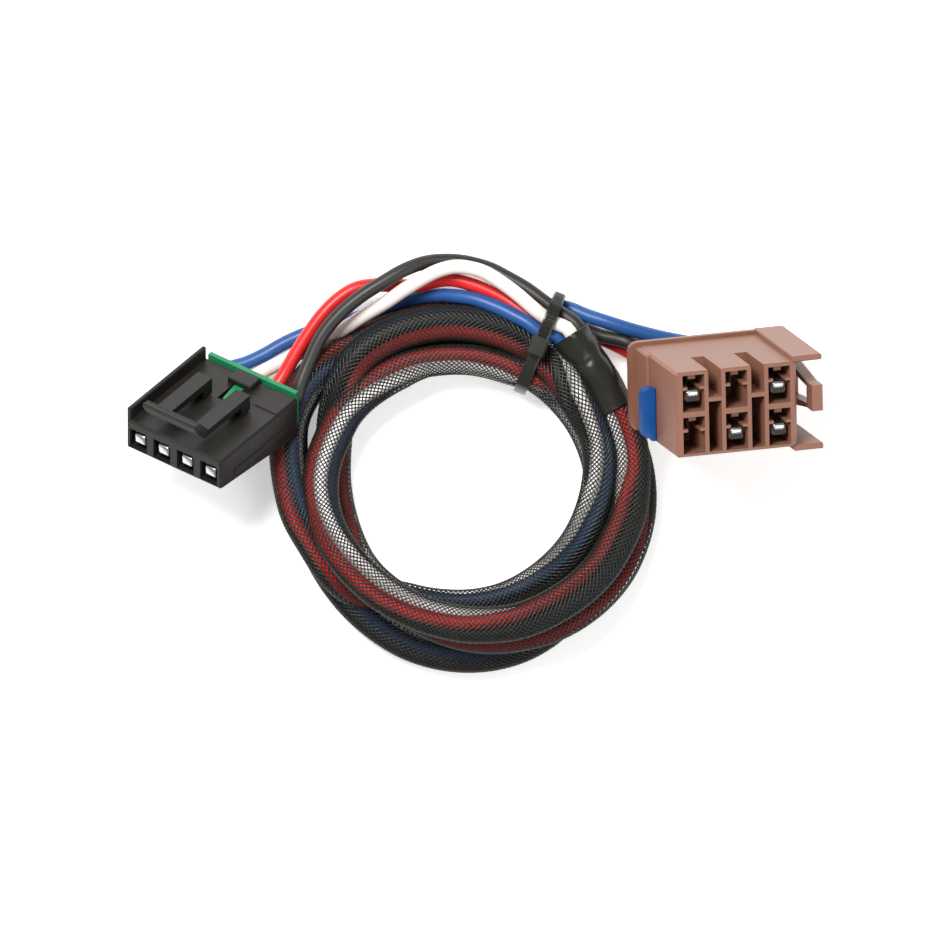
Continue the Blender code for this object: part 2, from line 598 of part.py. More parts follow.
def vehicle_housing(frame, finish):
    half = VEHICLE_WIDTH / 2
    tall = VEHICLE_HEIGHT / 2
    housing = placed(box("vehicle_plug_housing", (-half, 0, -tall), (half, VEHICLE_DEPTH, tall), 0.7 * MM), frame, finish)
    collar_end = VEHICLE_DEPTH - FLANGE_THICKNESS / 2
    add(housing, (-half - COLLAR_STEP, COLLAR_START, -tall + 0.2 * MM), (0, collar_end, tall - 0.2 * MM), frame, 0.5 * MM)
    flange = box(
        "flange",
        (-half - FLANGE_LEFT, VEHICLE_DEPTH - FLANGE_THICKNESS, -tall + 0.1 * MM),
        (half + FLANGE_RIGHT, VEHICLE_DEPTH + 0.1 * MM, tall + FLANGE_TOP),
    )
    round_left_corners(flange.data, -half - FLANGE_LEFT, FLANGE_CORNER)
    as_cutter(flange, frame)
    boolean(housing, flange, "UNION")
    for side in (-1, 1):
        outer = side * (tall + WING_RISE)
        inner = outer - side * WING_THICKNESS
        low, high = sorted((outer, inner))
        add(housing, (half - 0.9 * MM, 0.4 * MM, low), (half + WING_REACH, VEHICLE_DEPTH - 0.3 * MM, high), frame, 0.25 * MM)
    for column in (-1, 0, 1):
        for row in (-1, 1):
            cut_vehicle_cavity(housing, frame, column, row)
    for side in (-1, 1):
        x = side * VEHICLE_PITCH_X / 2
        low, high = KEYWAY_FLOOR
        near, far = x - KEYWAY_WIDTH / 2, x + KEYWAY_WIDTH / 2
        cut(housing, (near, -BEYOND, high), (far, KEYWAY_DEPTH, tall + BEYOND), frame)
        cut(housing, (near, -BEYOND, KEYWAY_BOTTOM), (far, KEYWAY_DEPTH, low), frame)
    cut_side_lock_slots(housing, frame)
    return housing


def side_lock_fingers(margin):
    """Corners of the lock's two fingers, each grown by a margin."""
    start = SIDE_LOCK_START + 0.3 * MM - margin
    end = SIDE_LOCK_START + SIDE_LOCK_THICKNESS - 0.3 * MM + margin
    left = -VEHICLE_WIDTH / 2
    for z in SIDE_LOCK_FINGER_Z:
        low = (left - 1.2 * MM, start, z - SIDE_LOCK_FINGER / 2 - margin)
        yield low, (left + SIDE_LOCK_REACH + margin, end, z + SIDE_LOCK_FINGER / 2 + margin)


def cut_side_lock_slots(housing, frame):
    for low, high in side_lock_fingers(SIDE_LOCK_CLEARANCE):
        cut(housing, low, high, frame)


def vehicle_lock(frame, finish):
    """A plate with round corners that stands proud of the left side, on two fingers that cross the housing."""
    left = -VEHICLE_WIDTH / 2
    outer = left - SIDE_LOCK_PROUD
    inner = left - GAP
    low, high = SIDE_LOCK_Z
    corner = SIDE_LOCK_CORNER
    arc = [math.radians(a) for a in (0, 30, 60, 90)]
    outline = [(inner, low), (inner, high)]
    outline += [(outer + corner - corner * math.sin(a), high - corner + corner * math.cos(a)) for a in arc]
    outline += [(outer + corner - corner * math.cos(a), low + corner - corner * math.sin(a)) for a in arc]
    turn = Matrix(((1, 0, 0), (0, 0, -1), (0, 1, 0))).to_4x4()
    middle = SIDE_LOCK_START + SIDE_LOCK_THICKNESS / 2
    lock = plate("vehicle_plug_lock", [outline], SIDE_LOCK_THICKNESS, Matrix.Translation((0, middle, 0)) @ turn)
    placed(lock, frame, finish)
    for low, high in side_lock_fingers(0.0):
        add(lock, low, high, frame)
    return lock


def vehicle_latch(frame, finish):
    """A loop beside the housing: two arms that taper to a front bar, with a window between them, on a root block."""
    front = LOOP_FRONT_HEIGHT / 2
    rear = LOOP_REAR_HEIGHT / 2
    root_end = LOOP_ROOT_START + LOOP_ROOT_LENGTH
    slope_start = LOOP_START + LOOP_BAR
    outer = (
        (LOOP_START, -front), (slope_start, -front), (LOOP_ROOT_START, -rear), (root_end, -rear),
        (root_end, rear), (LOOP_ROOT_START, rear), (slope_start, front), (LOOP_START, front),
    )
    window = (
        (slope_start, -front + LOOP_ARM), (LOOP_ROOT_START, -rear + 2 * LOOP_ARM),
        (LOOP_ROOT_START, rear - 2 * LOOP_ARM), (slope_start, front - LOOP_ARM),
    )
    outlines = [[(y, z + LOOP_MIDDLE_Z) for y, z in outline] for outline in (outer, window)]
    wall = VEHICLE_WIDTH / 2
    outside = wall + WING_REACH
    latch = plate("vehicle_plug_latch", outlines, LOOP_THICKNESS, side_view(outside - LOOP_THICKNESS / 2))
    placed(latch, frame, finish)
    low = (wall + LOOP_ROOT_GAP, LOOP_ROOT_START + 0.8 * MM, LOOP_MIDDLE_Z - rear + LOOP_ARM)
    add(latch, low, (outside - 1.0 * MM, root_end - 0.5 * MM, LOOP_MIDDLE_Z + rear - LOOP_ARM), frame)
    return latch


def vehicle_plug(frame, finishes, terminal):
    vehicle_housing(frame, finishes["brown plastic"])
    vehicle_latch(frame, finishes["brown plastic"])
    vehicle_lock(frame, finishes["blue plastic"])
    for (column, row), number in VEHICLE_CAVITY_NAMES.items():
        add_terminal(f"vehicle_terminal_{number}", terminal, frame, column * VEHICLE_PITCH_X, terminal_height(row))


# ------------------------------------------------------------------------------------------ loom, leads, tie


def lead(name, frame, x, z, depth, straight, route, finish):
    """A wire from inside its plug, straight out of the rear, then along its route."""
    start = [in_world(frame, (x, y, z)) for y in (wire_start(), (wire_start() + depth) / 2, depth, depth + straight)]
    return placed(tube(name, [*start, *route], WIRE_DIAMETER / 2), finish=finish)


def controller_leads(frame, finishes):
    for colour, x in zip(COLOURS, controller_columns()):
        lead(
            f"controller_lead_{colour}",
            frame,
            x,
            CONTROLLER_ROW_Z,
            CONTROLLER_DEPTH,
            STRAIGHT_BEHIND_CONTROLLER,
            CONTROLLER_ROUTES[colour],
            finishes[f"{colour} insulation"],
        )


def vehicle_leads(frame, finishes):
    for colour, (column, row) in VEHICLE_CAVITIES.items():
        lead(
            f"vehicle_lead_{colour}",
            frame,
            column * VEHICLE_PITCH_X,
            terminal_height(row),
            VEHICLE_DEPTH,
            STRAIGHT_BEHIND_VEHICLE,
            VEHICLE_ROUTES[colour][::-1],
            finishes[f"{colour} insulation"],
        )


def shrunk(route, trim):
    """A heat-shrink's route shortened at both ends, so that it meets its neighbours with a gap."""
    points = [np.array(p) for p in route]
    for end, inner in ((0, 1), (-1, -2)):
        step = points[inner] - points[end]
        points[end] = points[end] + step / np.linalg.norm(step) * trim / MM
    return [tuple(p) for p in points]


def lengthened(route, by):
    return shrunk(route, -by)


def heat_shrinks(finish):
    for name, route, radius in (
        ("controller_end_heat_shrink", CONTROLLER_SHRINK, CONTROLLER_SHRINK_RADIUS),
        ("vehicle_end_heat_shrink", VEHICLE_SHRINK, VEHICLE_SHRINK_RADIUS),
    ):
        placed(tube(name, shrunk(route, SHRINK_TRIM), radius, 4 * MM), finish=finish)


def tie_plane():
    """Turns an outline drawn as (along, height) into the tie's upright plane."""
    along = Vector((*TIE_ALONG, 0)).normalized()
    up = Vector((0, 0, 1))
    turn = Matrix((along, up, along.cross(up))).transposed().to_4x4()
    return Matrix.Translation(vector((*TIE_CENTRE, 0))) @ turn


def offset(outline, by):
    """A closed outline moved outwards by a distance; it runs anticlockwise."""
    points = np.array(outline)
    along = np.roll(points, -1, axis=0) - np.roll(points, 1, axis=0)
    outward = np.stack([along[:, 1], -along[:, 0]], axis=1)
    outward /= np.linalg.norm(outward, axis=1)[:, None]
    return [tuple(p) for p in points + outward * by]


def bundle_outline():
    """The band's inner surface, smooth, in metres."""
    loop = [(*p, 0.0) for p in TIE_BUNDLE]
    smooth = smooth_route([*loop[-2:], *loop, *loop[:3]], 2.0 * MM)
    first, last = vector(loop[0]), vector(loop[0])
    starts = sorted(range(len(smooth)), key=lambda i: (Vector(smooth[i]) - first).length)[:2]
    begin, end = sorted(starts)
    return [point[:2] for point in smooth[begin:end]]


def cable_tie(finish):
    inner = bundle_outline()
    placed(plate("cable_tie_strap", [offset(inner, TIE_THICKNESS), inner], TIE_WIDTH, tie_plane()), finish=finish)
    length, width, height = TIE_HEAD
    top = max(z for s, z in inner if abs(s / MM - TIE_HEAD_PLACE) < length / MM) + TIE_THICKNESS + GAP
    middle = TIE_HEAD_PLACE * MM
    head = box("cable_tie_head", (middle - length / 2, top, -width / 2), (middle + length / 2, top + height, width / 2), 0.5 * MM)
    head.data.transform(tie_plane())
    placed(head, finish=finish)


def coil_profile():
    """Half of the coil's section, from the top of its outer side downwards, then inwards and up."""
    inner, outer, height = COIL_INNER_RADIUS, COIL_OUTER_RADIUS, COIL_HEIGHT
    return (
        (outer - 8.4 * MM, height),
        (outer - 6.8 * MM, height - 1.0 * MM),
        (outer - 4.2 * MM, height - 5.2 * MM),
        (outer - 0.7 * MM, COIL_SHOULDER + 2.4 * MM),
        (outer, COIL_SHOULDER),
        (outer, 0.9 * MM + COIL_EDGE / 2),
        (outer - COIL_EDGE, 0.0),
        (inner + COIL_EDGE, 0.0),
        (inner, 0.9 * MM + COIL_EDGE / 2),
        (inner, COIL_SHOULDER + 1.5 * MM),
        (inner + 1.6 * MM, height - 4.0 * MM),
        (inner + 4.6 * MM, height),
    )


def coil(finish):
    """The coil's outer shape, with room for the heat-shrinks that lie in it and a neck under the cable tie."""
    mesh = bpy.data.meshes.new("loom_coil")
    solid = bmesh.new()
    ring = [solid.verts.new((r, 0.0, z)) for r, z in coil_profile()]
    for a, b in zip(ring, [*ring[1:], ring[0]]):
        solid.edges.new((a, b))
    solid.to_mesh(mesh)
    solid.free()
    loom = placed(bpy.data.objects.new("loom_coil", mesh), finish=finish)
    loom.location = (*COIL_CENTRE, 0.0)
    turn = loom.modifiers.new("turn", "SCREW")
    turn.steps = COIL_STEPS
    turn.render_steps = COIL_STEPS
    turn.merge_threshold = 0.0001 * MM
    turn.use_merge_vertices = True
    for name, route, radius in (
        ("controller shrink room", (*CONTROLLER_LEADS_ROOM, *CONTROLLER_SHRINK), CONTROLLER_SHRINK_RADIUS),
        ("vehicle shrink room", (*VEHICLE_SHRINK, *VEHICLE_LEADS_ROOM), VEHICLE_SHRINK_RADIUS),
    ):
        room = tube(name, lengthened(route, 2 * GAP), radius + 2 * GAP, 4 * MM)
        boolean(loom, as_cutter(meshed(room, Matrix.Identity(4), name)), "DIFFERENCE")
    outside = 40 * MM
    frame = ((-outside, -outside), (outside, -outside), (outside, outside), (-outside, outside))
    neck = plate("neck", [frame, offset(bundle_outline(), -GAP)], TIE_WIDTH + 2 * GAP, tie_plane())
    boolean(loom, as_cutter(neck), "DIFFERENCE")
    return loom


def main():
    start_scene()
    finishes = {
        "black plastic": material("black plastic", (0.035, 0.032, 0.028), 0.55),
        "green plastic": material("green plastic", (0.01, 0.20, 0.08), 0.45),
        "brown plastic": material("brown plastic", (0.46, 0.20, 0.13), 0.5),
        "blue plastic": material("blue plastic", (0.0, 0.10, 0.42), 0.4),
        "tin": material("tin", (0.75, 0.76, 0.77), 0.3, 1.0),
        "blue insulation": material("blue insulation", (0.03, 0.12, 0.42), 0.45),
        "white insulation": material("white insulation", (0.85, 0.82, 0.78), 0.45),
        "red insulation": material("red insulation", (0.75, 0.02, 0.02), 0.45),
        "black insulation": material("black insulation", (0.05, 0.045, 0.04), 0.5),
        "braid": material("braid", (0.03, 0.03, 0.03), 0.6),
        "heat-shrink": material("heat-shrink", (0.04, 0.04, 0.035), 0.3),
        "tie nylon": material("tie nylon", (0.04, 0.04, 0.035), 0.4),
    }
    terminal = terminal_mesh()
    terminal.materials.clear()
    terminal.materials.append(finishes["tin"])
    controller_frame = plug_frame("controller_plug", CONTROLLER_ORIGIN, CONTROLLER_RIGHT, CONTROLLER_BACK)
    vehicle_frame = plug_frame("vehicle_plug", VEHICLE_ORIGIN, VEHICLE_RIGHT, VEHICLE_BACK)
    controller_plug(controller_frame, finishes, terminal)
    vehicle_plug(vehicle_frame, finishes, terminal)
    controller_leads(controller_frame, finishes)
    vehicle_leads(vehicle_frame, finishes)
    heat_shrinks(finishes["heat-shrink"])
    cable_tie(finishes["tie nylon"])
    coil(finishes["braid"])


main()
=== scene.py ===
"""Looks of the trailer brake harness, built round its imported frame.

Four wires run inside a braided sleeve that lies in a coil of four turns. A cable tie holds the coil, and the
leads at its two ends go to a black four-way plug and to a brown six-cavity plug.
"""

import logging
import math
from dataclasses import dataclass, field, replace
from enum import Enum

import bmesh
import bpy
import numpy as np
from mathutils import Matrix, Vector


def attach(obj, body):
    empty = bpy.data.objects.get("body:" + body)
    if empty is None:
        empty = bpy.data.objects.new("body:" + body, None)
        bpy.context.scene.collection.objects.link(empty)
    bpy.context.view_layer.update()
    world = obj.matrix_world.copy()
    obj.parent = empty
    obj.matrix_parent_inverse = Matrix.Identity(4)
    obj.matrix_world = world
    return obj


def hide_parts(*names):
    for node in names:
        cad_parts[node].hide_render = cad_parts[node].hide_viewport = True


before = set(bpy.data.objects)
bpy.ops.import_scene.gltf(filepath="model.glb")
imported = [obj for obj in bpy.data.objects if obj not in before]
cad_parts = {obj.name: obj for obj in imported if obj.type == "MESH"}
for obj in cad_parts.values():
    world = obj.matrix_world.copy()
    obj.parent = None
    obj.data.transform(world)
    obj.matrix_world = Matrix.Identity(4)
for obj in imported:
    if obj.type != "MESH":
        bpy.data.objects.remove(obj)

LOG = logging.getLogger("harness")
MM = 0.001

# Camera, floor and light, in metres and watts
VIEW_WIDTH = 256.5 * MM
CAMERA_PLACE = (0.0, -18.63 * MM, 1.0)
FLOOR_SIZE = 60.0
FLOOR_HEIGHT = -0.05 * MM  # just under the lowest solid
FLOOR_COLOUR = (0.93, 0.93, 0.92, 1.0)
FLOOR_ROUGHNESS = 0.9
FLOOR_GLOW = 0.42
SURROUND_STRENGTH = 0.36
WHITE = (1.0, 1.0, 1.0, 1.0)
LIGHTS = (("key light", (-0.3, 0.4, 0.9), 0.35, 15.0), ("fill light", (0.6, -0.4, 0.8), 0.7, 5.0))

# Wires and sleeve, in mm
WIRE_RADIUS = 1.925
WIRE_SIDES = 16
LEAD_STEP = 1.5
LOOM_STEP = 3.0
SLEEVE_HALF_WIDTH = 4.86
SLEEVE_HALF_HEIGHT = 4.25
SLEEVE_NARROW = 4.1
SLEEVE_CORNER = 0.045  # how much fuller than an ellipse the section is, as a share
NARROW_FROM_TO = (240, 252, 300, 330)  # angles where the sleeve starts and ends being narrow
WIRE_OFFSET = 2.72
STRANDS = 24
STRAND_WIDTH = 0.33
STRAND_CROWN = 0.1
STRAND_WEAVE = 0.11
HELIX_LENGTH = 34.0
HELIX_RADIUS = 4.6
SMOOTHING = (1, 2, 3, 4, 5, 6, 7, 6, 5, 4, 3, 2, 1)  # weights of neighbouring degrees
COIL_CENTRE = (-2.43, -21.33)

# The coil's centreline: angle clockwise from +X over four turns, radius and height in mm
TURNS = (
    (-27.3, 45.3, 15.3), (-20, 45.6, 14.9), (-10, 45.4, 14.7), (0, 44.8, 14.6), (10, 44.6, 14.6),
    (20, 43.5, 14.8), (30, 42.9, 15), (40, 41.9, 16.8), (50, 40.8, 18.2), (60, 40.0, 19),
    (70, 39.4, 19.3), (80, 38.3, 19.6), (90, 37.7, 19.8), (100, 37.0, 20), (110, 36.7, 20.3),
    (120, 36.7, 20.5), (130, 37.0, 20.6), (140, 37.4, 20.4), (150, 38.1, 19.5), (160, 38.9, 17),
    (170, 39.4, 15), (180, 39.4, 14), (190, 39.0, 13.2), (200, 38.1, 13), (210, 38.1, 13),
    (220, 37.3, 12.9), (230, 36.2, 12.8), (240, 35.6, 12.7), (250, 35.1, 12.6), (260, 34.3, 12.5),
    (270, 33.9, 12.5), (280, 33.5, 12.4), (290, 33.3, 12.4), (298, 34.0, 12.4), (310, 36.2, 12.2),
    (320, 39.4, 10), (330, 42.1, 7), (340, 44.3, 5), (350, 45.6, 4.9), (360, 46.4, 4.9),
    (370, 47.0, 4.9), (380, 47.1, 5.5), (390, 47.0, 7.5), (400, 46.2, 10), (410, 45.2, 12),
    (420, 44.0, 12.5), (430, 42.5, 12.5), (440, 41.3, 12.3), (450, 40.0, 12.2), (460, 38.5, 12.2),
    (470, 37.1, 12.4), (480, 36.2, 12.8), (494, 36.2, 13.2), (500, 36.2, 12.8), (508, 35.9, 11),
    (516, 35.5, 8), (525, 35.4, 5.5), (535, 35.6, 4.9), (550, 36.5, 5), (560, 37.8, 6.5),
    (568, 39.7, 9.5), (575, 41.6, 12), (580, 42.9, 13), (590, 45.1, 13.5), (600, 45.1, 13.5),
    (610, 44.8, 13.5), (620, 44.3, 13.3), (630, 43.6, 13), (640, 42.8, 12.8), (650, 41.9, 12.5),
    (658, 40.8, 12.4), (660, 40.5, 13.5), (670, 39.2, 17.5), (680, 37.8, 19), (690, 37.4, 17),
    (700, 37.7, 14.5), (710, 37.1, 13.2), (720, 36.0, 12.8), (730, 35.1, 12.2), (740, 34.4, 11),
    (750, 33.8, 9), (760, 33.2, 7), (770, 32.8, 5.5), (780, 32.7, 4.9), (790, 32.8, 4.9),
    (800, 32.9, 4.9), (810, 33.1, 4.9), (820, 33.5, 4.9), (830, 34.3, 4.9), (840, 35.4, 4.9),
    (848, 38.1, 5.5), (854, 40.2, 7.5), (860, 41.9, 10.5), (868, 42.7, 13.3), (880, 43.7, 13.8),
    (890, 45.9, 13.6), (900, 47.1, 12.3), (910, 48.9, 11.5), (920, 50.8, 11.3), (930, 51.0, 11.0),
    (935, 50.8, 10.3), (945, 48.6, 8), (955, 45.4, 5.5), (965, 41.0, 4.9), (975, 37.3, 4.9),
    (985, 35.4, 4.9), (1000, 34.8, 4.9), (1018, 35.4, 4.9), (1020, 35.4, 4.9), (1040, 35.6, 4.9),
    (1060, 36.2, 4.9), (1080, 37.0, 4.9), (1090, 37.8, 4.9), (1100, 38.9, 4.9), (1110, 40.2, 4.9),
    (1120, 41.6, 4.9), (1130, 43.2, 4.9), (1140, 44.6, 4.9), (1150, 45.5, 4.9), (1160, 45.8, 4.9),
    (1170, 45.8, 4.9), (1180, 45.5, 4.9), (1190, 45.1, 4.9), (1200, 44.3, 4.9), (1210, 43.7, 4.9),
    (1220, 43.3, 4.9), (1230, 43.1, 4.9), (1240, 43.2, 4.9), (1250, 44.3, 4.9), (1260, 46.2, 4.9),
    (1270, 48.3, 4.9), (1280, 50.5, 4.9), (1290, 50.5, 4.9), (1300, 49.4, 4.9), (1310, 47.5, 4.9),
    (1320, 46.4, 4.9), (1330, 45.9, 4.9), (1340, 45.6, 4.9), (1350, 45.4, 4.9), (1360, 45.5, 4.9),
    (1366.5, 45.8, 6.15),
)
# Place of each wire in the sleeve's section along the same angle: degrees, 0 outwards and 90 up
# (angle, black, red, white, blue)
WIRE_PLACES = (
    (-27, 15, 75, 132, 240), (-6, 20, 82, 138, 250), (8, 48, 138, 222, 318), (20, 57, 147, 237, 327),
    (60, 57, 147, 237, 327),
    (90, 10, 100, 190, 280), (120, -22, 68, 158, 248), (150, -50, 40, 130, 220),
    (180, -90, 0, 90, 180), (200, -90, 0, 90, 180), (220, -75, 15, 105, 195), (240, -50, 40, 130, 220),
    (290, -22, 68, 158, 248), (300, 10, 100, 190, 280), (330, 50, 140, 230, 320),
    (380, -45, 45, 135, 225), (420, -55, 35, 125, 215), (450, -85, 5, 95, 185),
    (520, 60, 150, 240, 330), (550, 60, 150, 240, 330), (590, 62, 152, 242, 332),
    (650, 62, 152, 242, 332), (665, 50, 140, 320, 230), (680, 150, 240, 420, 330),
    (700, 190, 280, 460, 370), (720, 215, 305, 485, 395), (735, 355, 265, 520, 440),
    (760, 375, 285, 540, 460), (790, 405, 315, 565, 485), (810, 410, 320, 585, 495),
    (870, 360, 435, 610, 520), (900, 320, 395, 570, 475), (920, 320, 395, 570, 475),
    (1160, 360, 270, 540, 450), (1220, 360, 270, 540, 450), (1310, 455, 365, 635, 545),
    (1350, 455, 365, 635, 545),
)

# Plugs: local x to the right, y away from the mating face, z up, in mm
CONTROLLER_ORIGIN = (-81.4, -13.0, 34.45)
CONTROLLER_RIGHT = (0.802, -0.366, 0.473)
CONTROLLER_BACK = (0.598, 0.490, -0.634)
CONTROLLER_DEPTH = 35.0
CONTROLLER_STRAIGHT = 4.5
CONTROLLER_CAVITIES = {
    "blue": (-11.85, -1.0), "white": (-3.95, -1.0), "red": (3.95, -1.0), "black": (11.85, -1.0),
}
CONTROLLER_SPRING = (-1.55, 1.6)  # underside and top of a terminal's spring above its axis
VEHICLE_ORIGIN = (70.7, -1.1, 48.5)
VEHICLE_RIGHT = (0.948, 0.096, -0.3016)
VEHICLE_BACK = (-0.316, 0.233, -0.919)
VEHICLE_DEPTH = 34.0
VEHICLE_STRAIGHT = 3.0
VEHICLE_PITCH_X = 12.2
VEHICLE_ROW_Z = 5.85
VEHICLE_ROOF = 5.1  # of a cavity above its middle
VEHICLE_TERMINALS = ("black", "blue", "red", "white")  # the lead of each numbered terminal
VEHICLE_SPRING = (-0.3, 1.75)
VEHICLE_CAVITIES = {"blue": (12.2, 4.95), "black": (-12.2, 4.95), "red": (0.0, -6.75), "white": (12.2, -6.75)}
WIRE_START = 24.0
SPRING_HALF_WIDTH = 1.9
SPRING_DEPTH = (0.55, 3.4)
SPRING_EDGE = 0.75
MOUTH_HALF_WIDTH = 1.75
MOUTH_DEPTH = (1.05, 1.35)
MOUTH_FLOOR = -1.6
MOUTH_OVERLAP = 0.6
MOUTH_EDGE = 0.1
TERMINAL_EDGE = 0.12
PLUG_EDGE = 0.25
EDGE_ANGLE = 35  # degrees; blunter edges stay as they are

# Small moulded details in a plug's axes: lowest corner, highest corner, rounding
CONTROLLER_DETAILS = {
    "controller_plug_top_step": ((8.2, 25.6, 4.1), (15.5, 34.5, 4.85), 0.25),
    "controller_plug_side_rib": ((15.6, 6.0, -3.4), (16.3, 30.0, -1.6), 0.2),
}
LATCH_BEAD = ((-8.7, -2.3, 13.9), (8.7, -1.5, 14.75), 0.3)
FINGER = ((-1.1, 1.6, -1.5), (1.1, 12.0, 0.1), 0.2)  # from the middle of a cavity's roof
BACK_RIB = ((16.9, 27.0, -0.6), (18.6, 33.6, 0.6), 0.2)
BACK_RIB_HEIGHTS = (-9.0, -4.5, 7.2)

# Leads in mm, from behind the plug to the heat-shrink, or the other way at the vehicle end
CONTROLLER_ROUTES = {
    "blue": (
        (-61.8, 11.6, 2.7), (-57.0, 13.8, 2.5), (-52.5, 16.4, 2.5), (-47.5, 18.8, 2.5), (-40.5, 21.2, 2.8),
        (-32.5, 23.5, 3.2), (-24.9, 26.0, 4.0), (-16.7, 29.0, 5.6), (-11.1, 29.9, 7.7), (-5.6, 29.7, 10.5),
        (0.0, 28.8, 12.8), (5.4, 26.9, 14.4), (8.1, 25.7, 15.1), (10.8, 24.3, 15.7), (13.8, 22.7, 16.5),
        (18.38, 19.5, 16.9), (22.3, 18.8, 16.3), (23.1, 17.6, 16.2),
    ),
    "white": (
        (-57.0, 9.4, 5.6), (-51.8, 12.1, 5.0), (-45.6, 15.2, 5.2), (-38.1, 19.2, 6.6), (-30.5, 24.0, 9.2),
        (-24.9, 27.4, 11.2), (-19.4, 31.2, 13.4), (-14.9, 34.0, 15.0), (-10.5, 36.3, 15.9),
        (-5.7, 37.6, 16.3), (-1.1, 37.2, 16.7), (2.7, 36.0, 17.0), (7.0, 33.4, 17.3),
        (11.6, 30.0, 17.4), (15.4, 26.7, 17.3), (19.96, 23.2, 17.3), (25.1, 20.8, 19.2), (25.9, 19.5, 19.2),
    ),
    "red": (
        (-52.2, 7.4, 9.9), (-49.1, 12.9, 10.1), (-45.3, 19.0, 10.4), (-41.4, 24.4, 10.6), (-37.0, 28.8, 10.6),
        (-32.6, 31.6, 10.4), (-28.6, 32.5, 10.0), (-24.3, 32.7, 9.6), (-19.4, 32.4, 9.4), (-15.0, 32.6, 9.6),
        (-10.5, 33.8, 10.0), (-6.0, 34.1, 10.3), (0.0, 32.5, 10.9), (5.4, 30.2, 11.5), (8.1, 28.8, 11.9),
        (10.8, 27.0, 12.4), (13.8, 25.0, 12.9), (19.62, 22.04, 13.1), (25.0, 20.7, 13.2), (25.8, 19.45, 13.2),
    ),
    "black": (
        (-47.3, 5.4, 14.5), (-45.3, 10.6, 14.2), (-41.4, 18.9, 14.3), (-37.0, 24.4, 14.5),
        (-30.9, 29.6, 14.7), (-24.9, 33.4, 14.6), (-19.4, 36.6, 13.9), (-13.8, 38.7, 12.5),
        (-8.4, 39.3, 11.8), (-2.7, 38.9, 11.6),
        (4.0, 37.1, 11.9), (8.2, 35.0, 12.5), (13.8, 31.8, 13.5), (17.8, 28.9, 14.3), (21.4, 26.2, 14.9),
        (27.35, 22.17, 16.25), (28.16, 20.91, 16.3),
    ),
}
VEHICLE_ROUTES = {
    "blue": (
        (19.21, 26.29, 8.13), (21.5, 26.9, 8.4), (25.4, 26.4, 9.9), (30.5, 24.3, 11.1), (35.9, 22.6, 12.0),
        (41.9, 20.7, 11.9), (50.0, 18.6, 10.8), (58.0, 17.0, 8.6), (63.5, 16.0, 7.4), (67.4, 15.5, 7.7),
    ),
    "black": (
        (20.17, 22.45, 8.13), (22.4, 22.8, 8.1), (25.4, 22.0, 8.3), (28.9, 20.9, 8.8), (31.6, 19.9, 9.2),
        (34.3, 18.9, 9.4), (37.8, 18.2, 9.7), (40.8, 17.4, 10.1), (43.2, 15.8, 11.6),
    ),
    "red": (
        (20.17, 22.45, 4.17), (22.4, 22.6, 4.1), (25.2, 21.7, 4.2), (28.9, 20.4, 4.7), (33.8, 18.4, 5.1),
        (37.8, 16.6, 5.2), (41.3, 14.8, 5.0), (45.9, 11.9, 4.5), (51.3, 7.8, 4.6), (55.4, 4.8, 6.2),
    ),
    "white": (
        (19.21, 26.36, 4.17), (21.6, 26.60, 4.2), (25.0, 25.75, 3.9), (28.4, 25.2, 3.0), (33.8, 23.3, 2.2),
        (41.9, 19.9, 2.2), (51.3, 15.1, 2.3), (60.8, 9.5, 2.7), (66.2, 6.0, 4.0),
    ),
}
CONTROLLER_SHRINK = ((25.8, 19.4, 16.3), (29.9, 13.0, 16.1), (34.0, 6.3, 15.8), (37.8, -0.6, 15.3))
VEHICLE_SHRINK = ((19.4, 24.3, 6.15), (15.0, 23.2, 6.15), (10.6, 22.6, 6.15))
SHRINKS = (  # CAD node, route, half-width, half-height
    ("controller_end_heat_shrink", CONTROLLER_SHRINK, 5.25, 4.7),
    ("vehicle_end_heat_shrink", VEHICLE_SHRINK, 4.95, 4.6),
)
SHRINK_STEP = 0.5
SHRINK_SIDES = 48
SHRINK_WALL_MOUTH = 0.16  # thickness shown at the mouth and at the end, as a share of the radius
SHRINK_WALL_END = 0.13
LEAD_IN_SHRINK = 4.0  # how far a lead goes into the sleeve
# Relief of a heat-shrink: height as a share of the radius, place as a share of the length, reach in mm
LOBES = 4
LOBE = (0.085, 3.5)
LOBE_TWIST = 0.35  # radians in 10 mm
CREASE = (0.05, 0.36, 1.1)
FACETS = 5
FACET = (0.02, 0.3, 5.0)
BULGE = (0.05, 0.68, 4.5)
MOUTH_LIP = (0.05, 0.7)
END_LIP = (0.03, 0.6)

# Cable tie
TIE_CENTRE = (17.3, 16.5)
TIE_ALONG = (0.386, 0.923)
TIE_WIDTH = 3.4
TIE_THICKNESS = 1.1
TIE_BUNDLE = (
    (-12.8, 6.0), (-11.2, 2.2), (-7.4, 1.25), (0.0, 1.2), (9.2, 1.2), (12.6, 2.6), (14.0, 6.4),
    (13.9, 10.8), (13.0, 15.2), (11.2, 18.4), (7.6, 20.1), (3.2, 19.6), (-2.2, 18.9), (-7.3, 17.6),
    (-11.0, 15.6), (-12.8, 11.4),
)
TOOTH_PITCH = 1.25
TOOTH_HEIGHT = 0.34
TEETH_FROM = (1.5, 9.0)  # along and up in the tie's plane; the teeth are past both
TIE_RAIL = 0.72  # share of the width between the rails
TIE_EDGE = 0.12
TIE_HEAD_EDGE = 0.4


class Body(str, Enum):
    """CAD bodies that pieces ride on."""

    HARNESS = "harness"
    CONTROLLER_LATCH = "controller_latch"


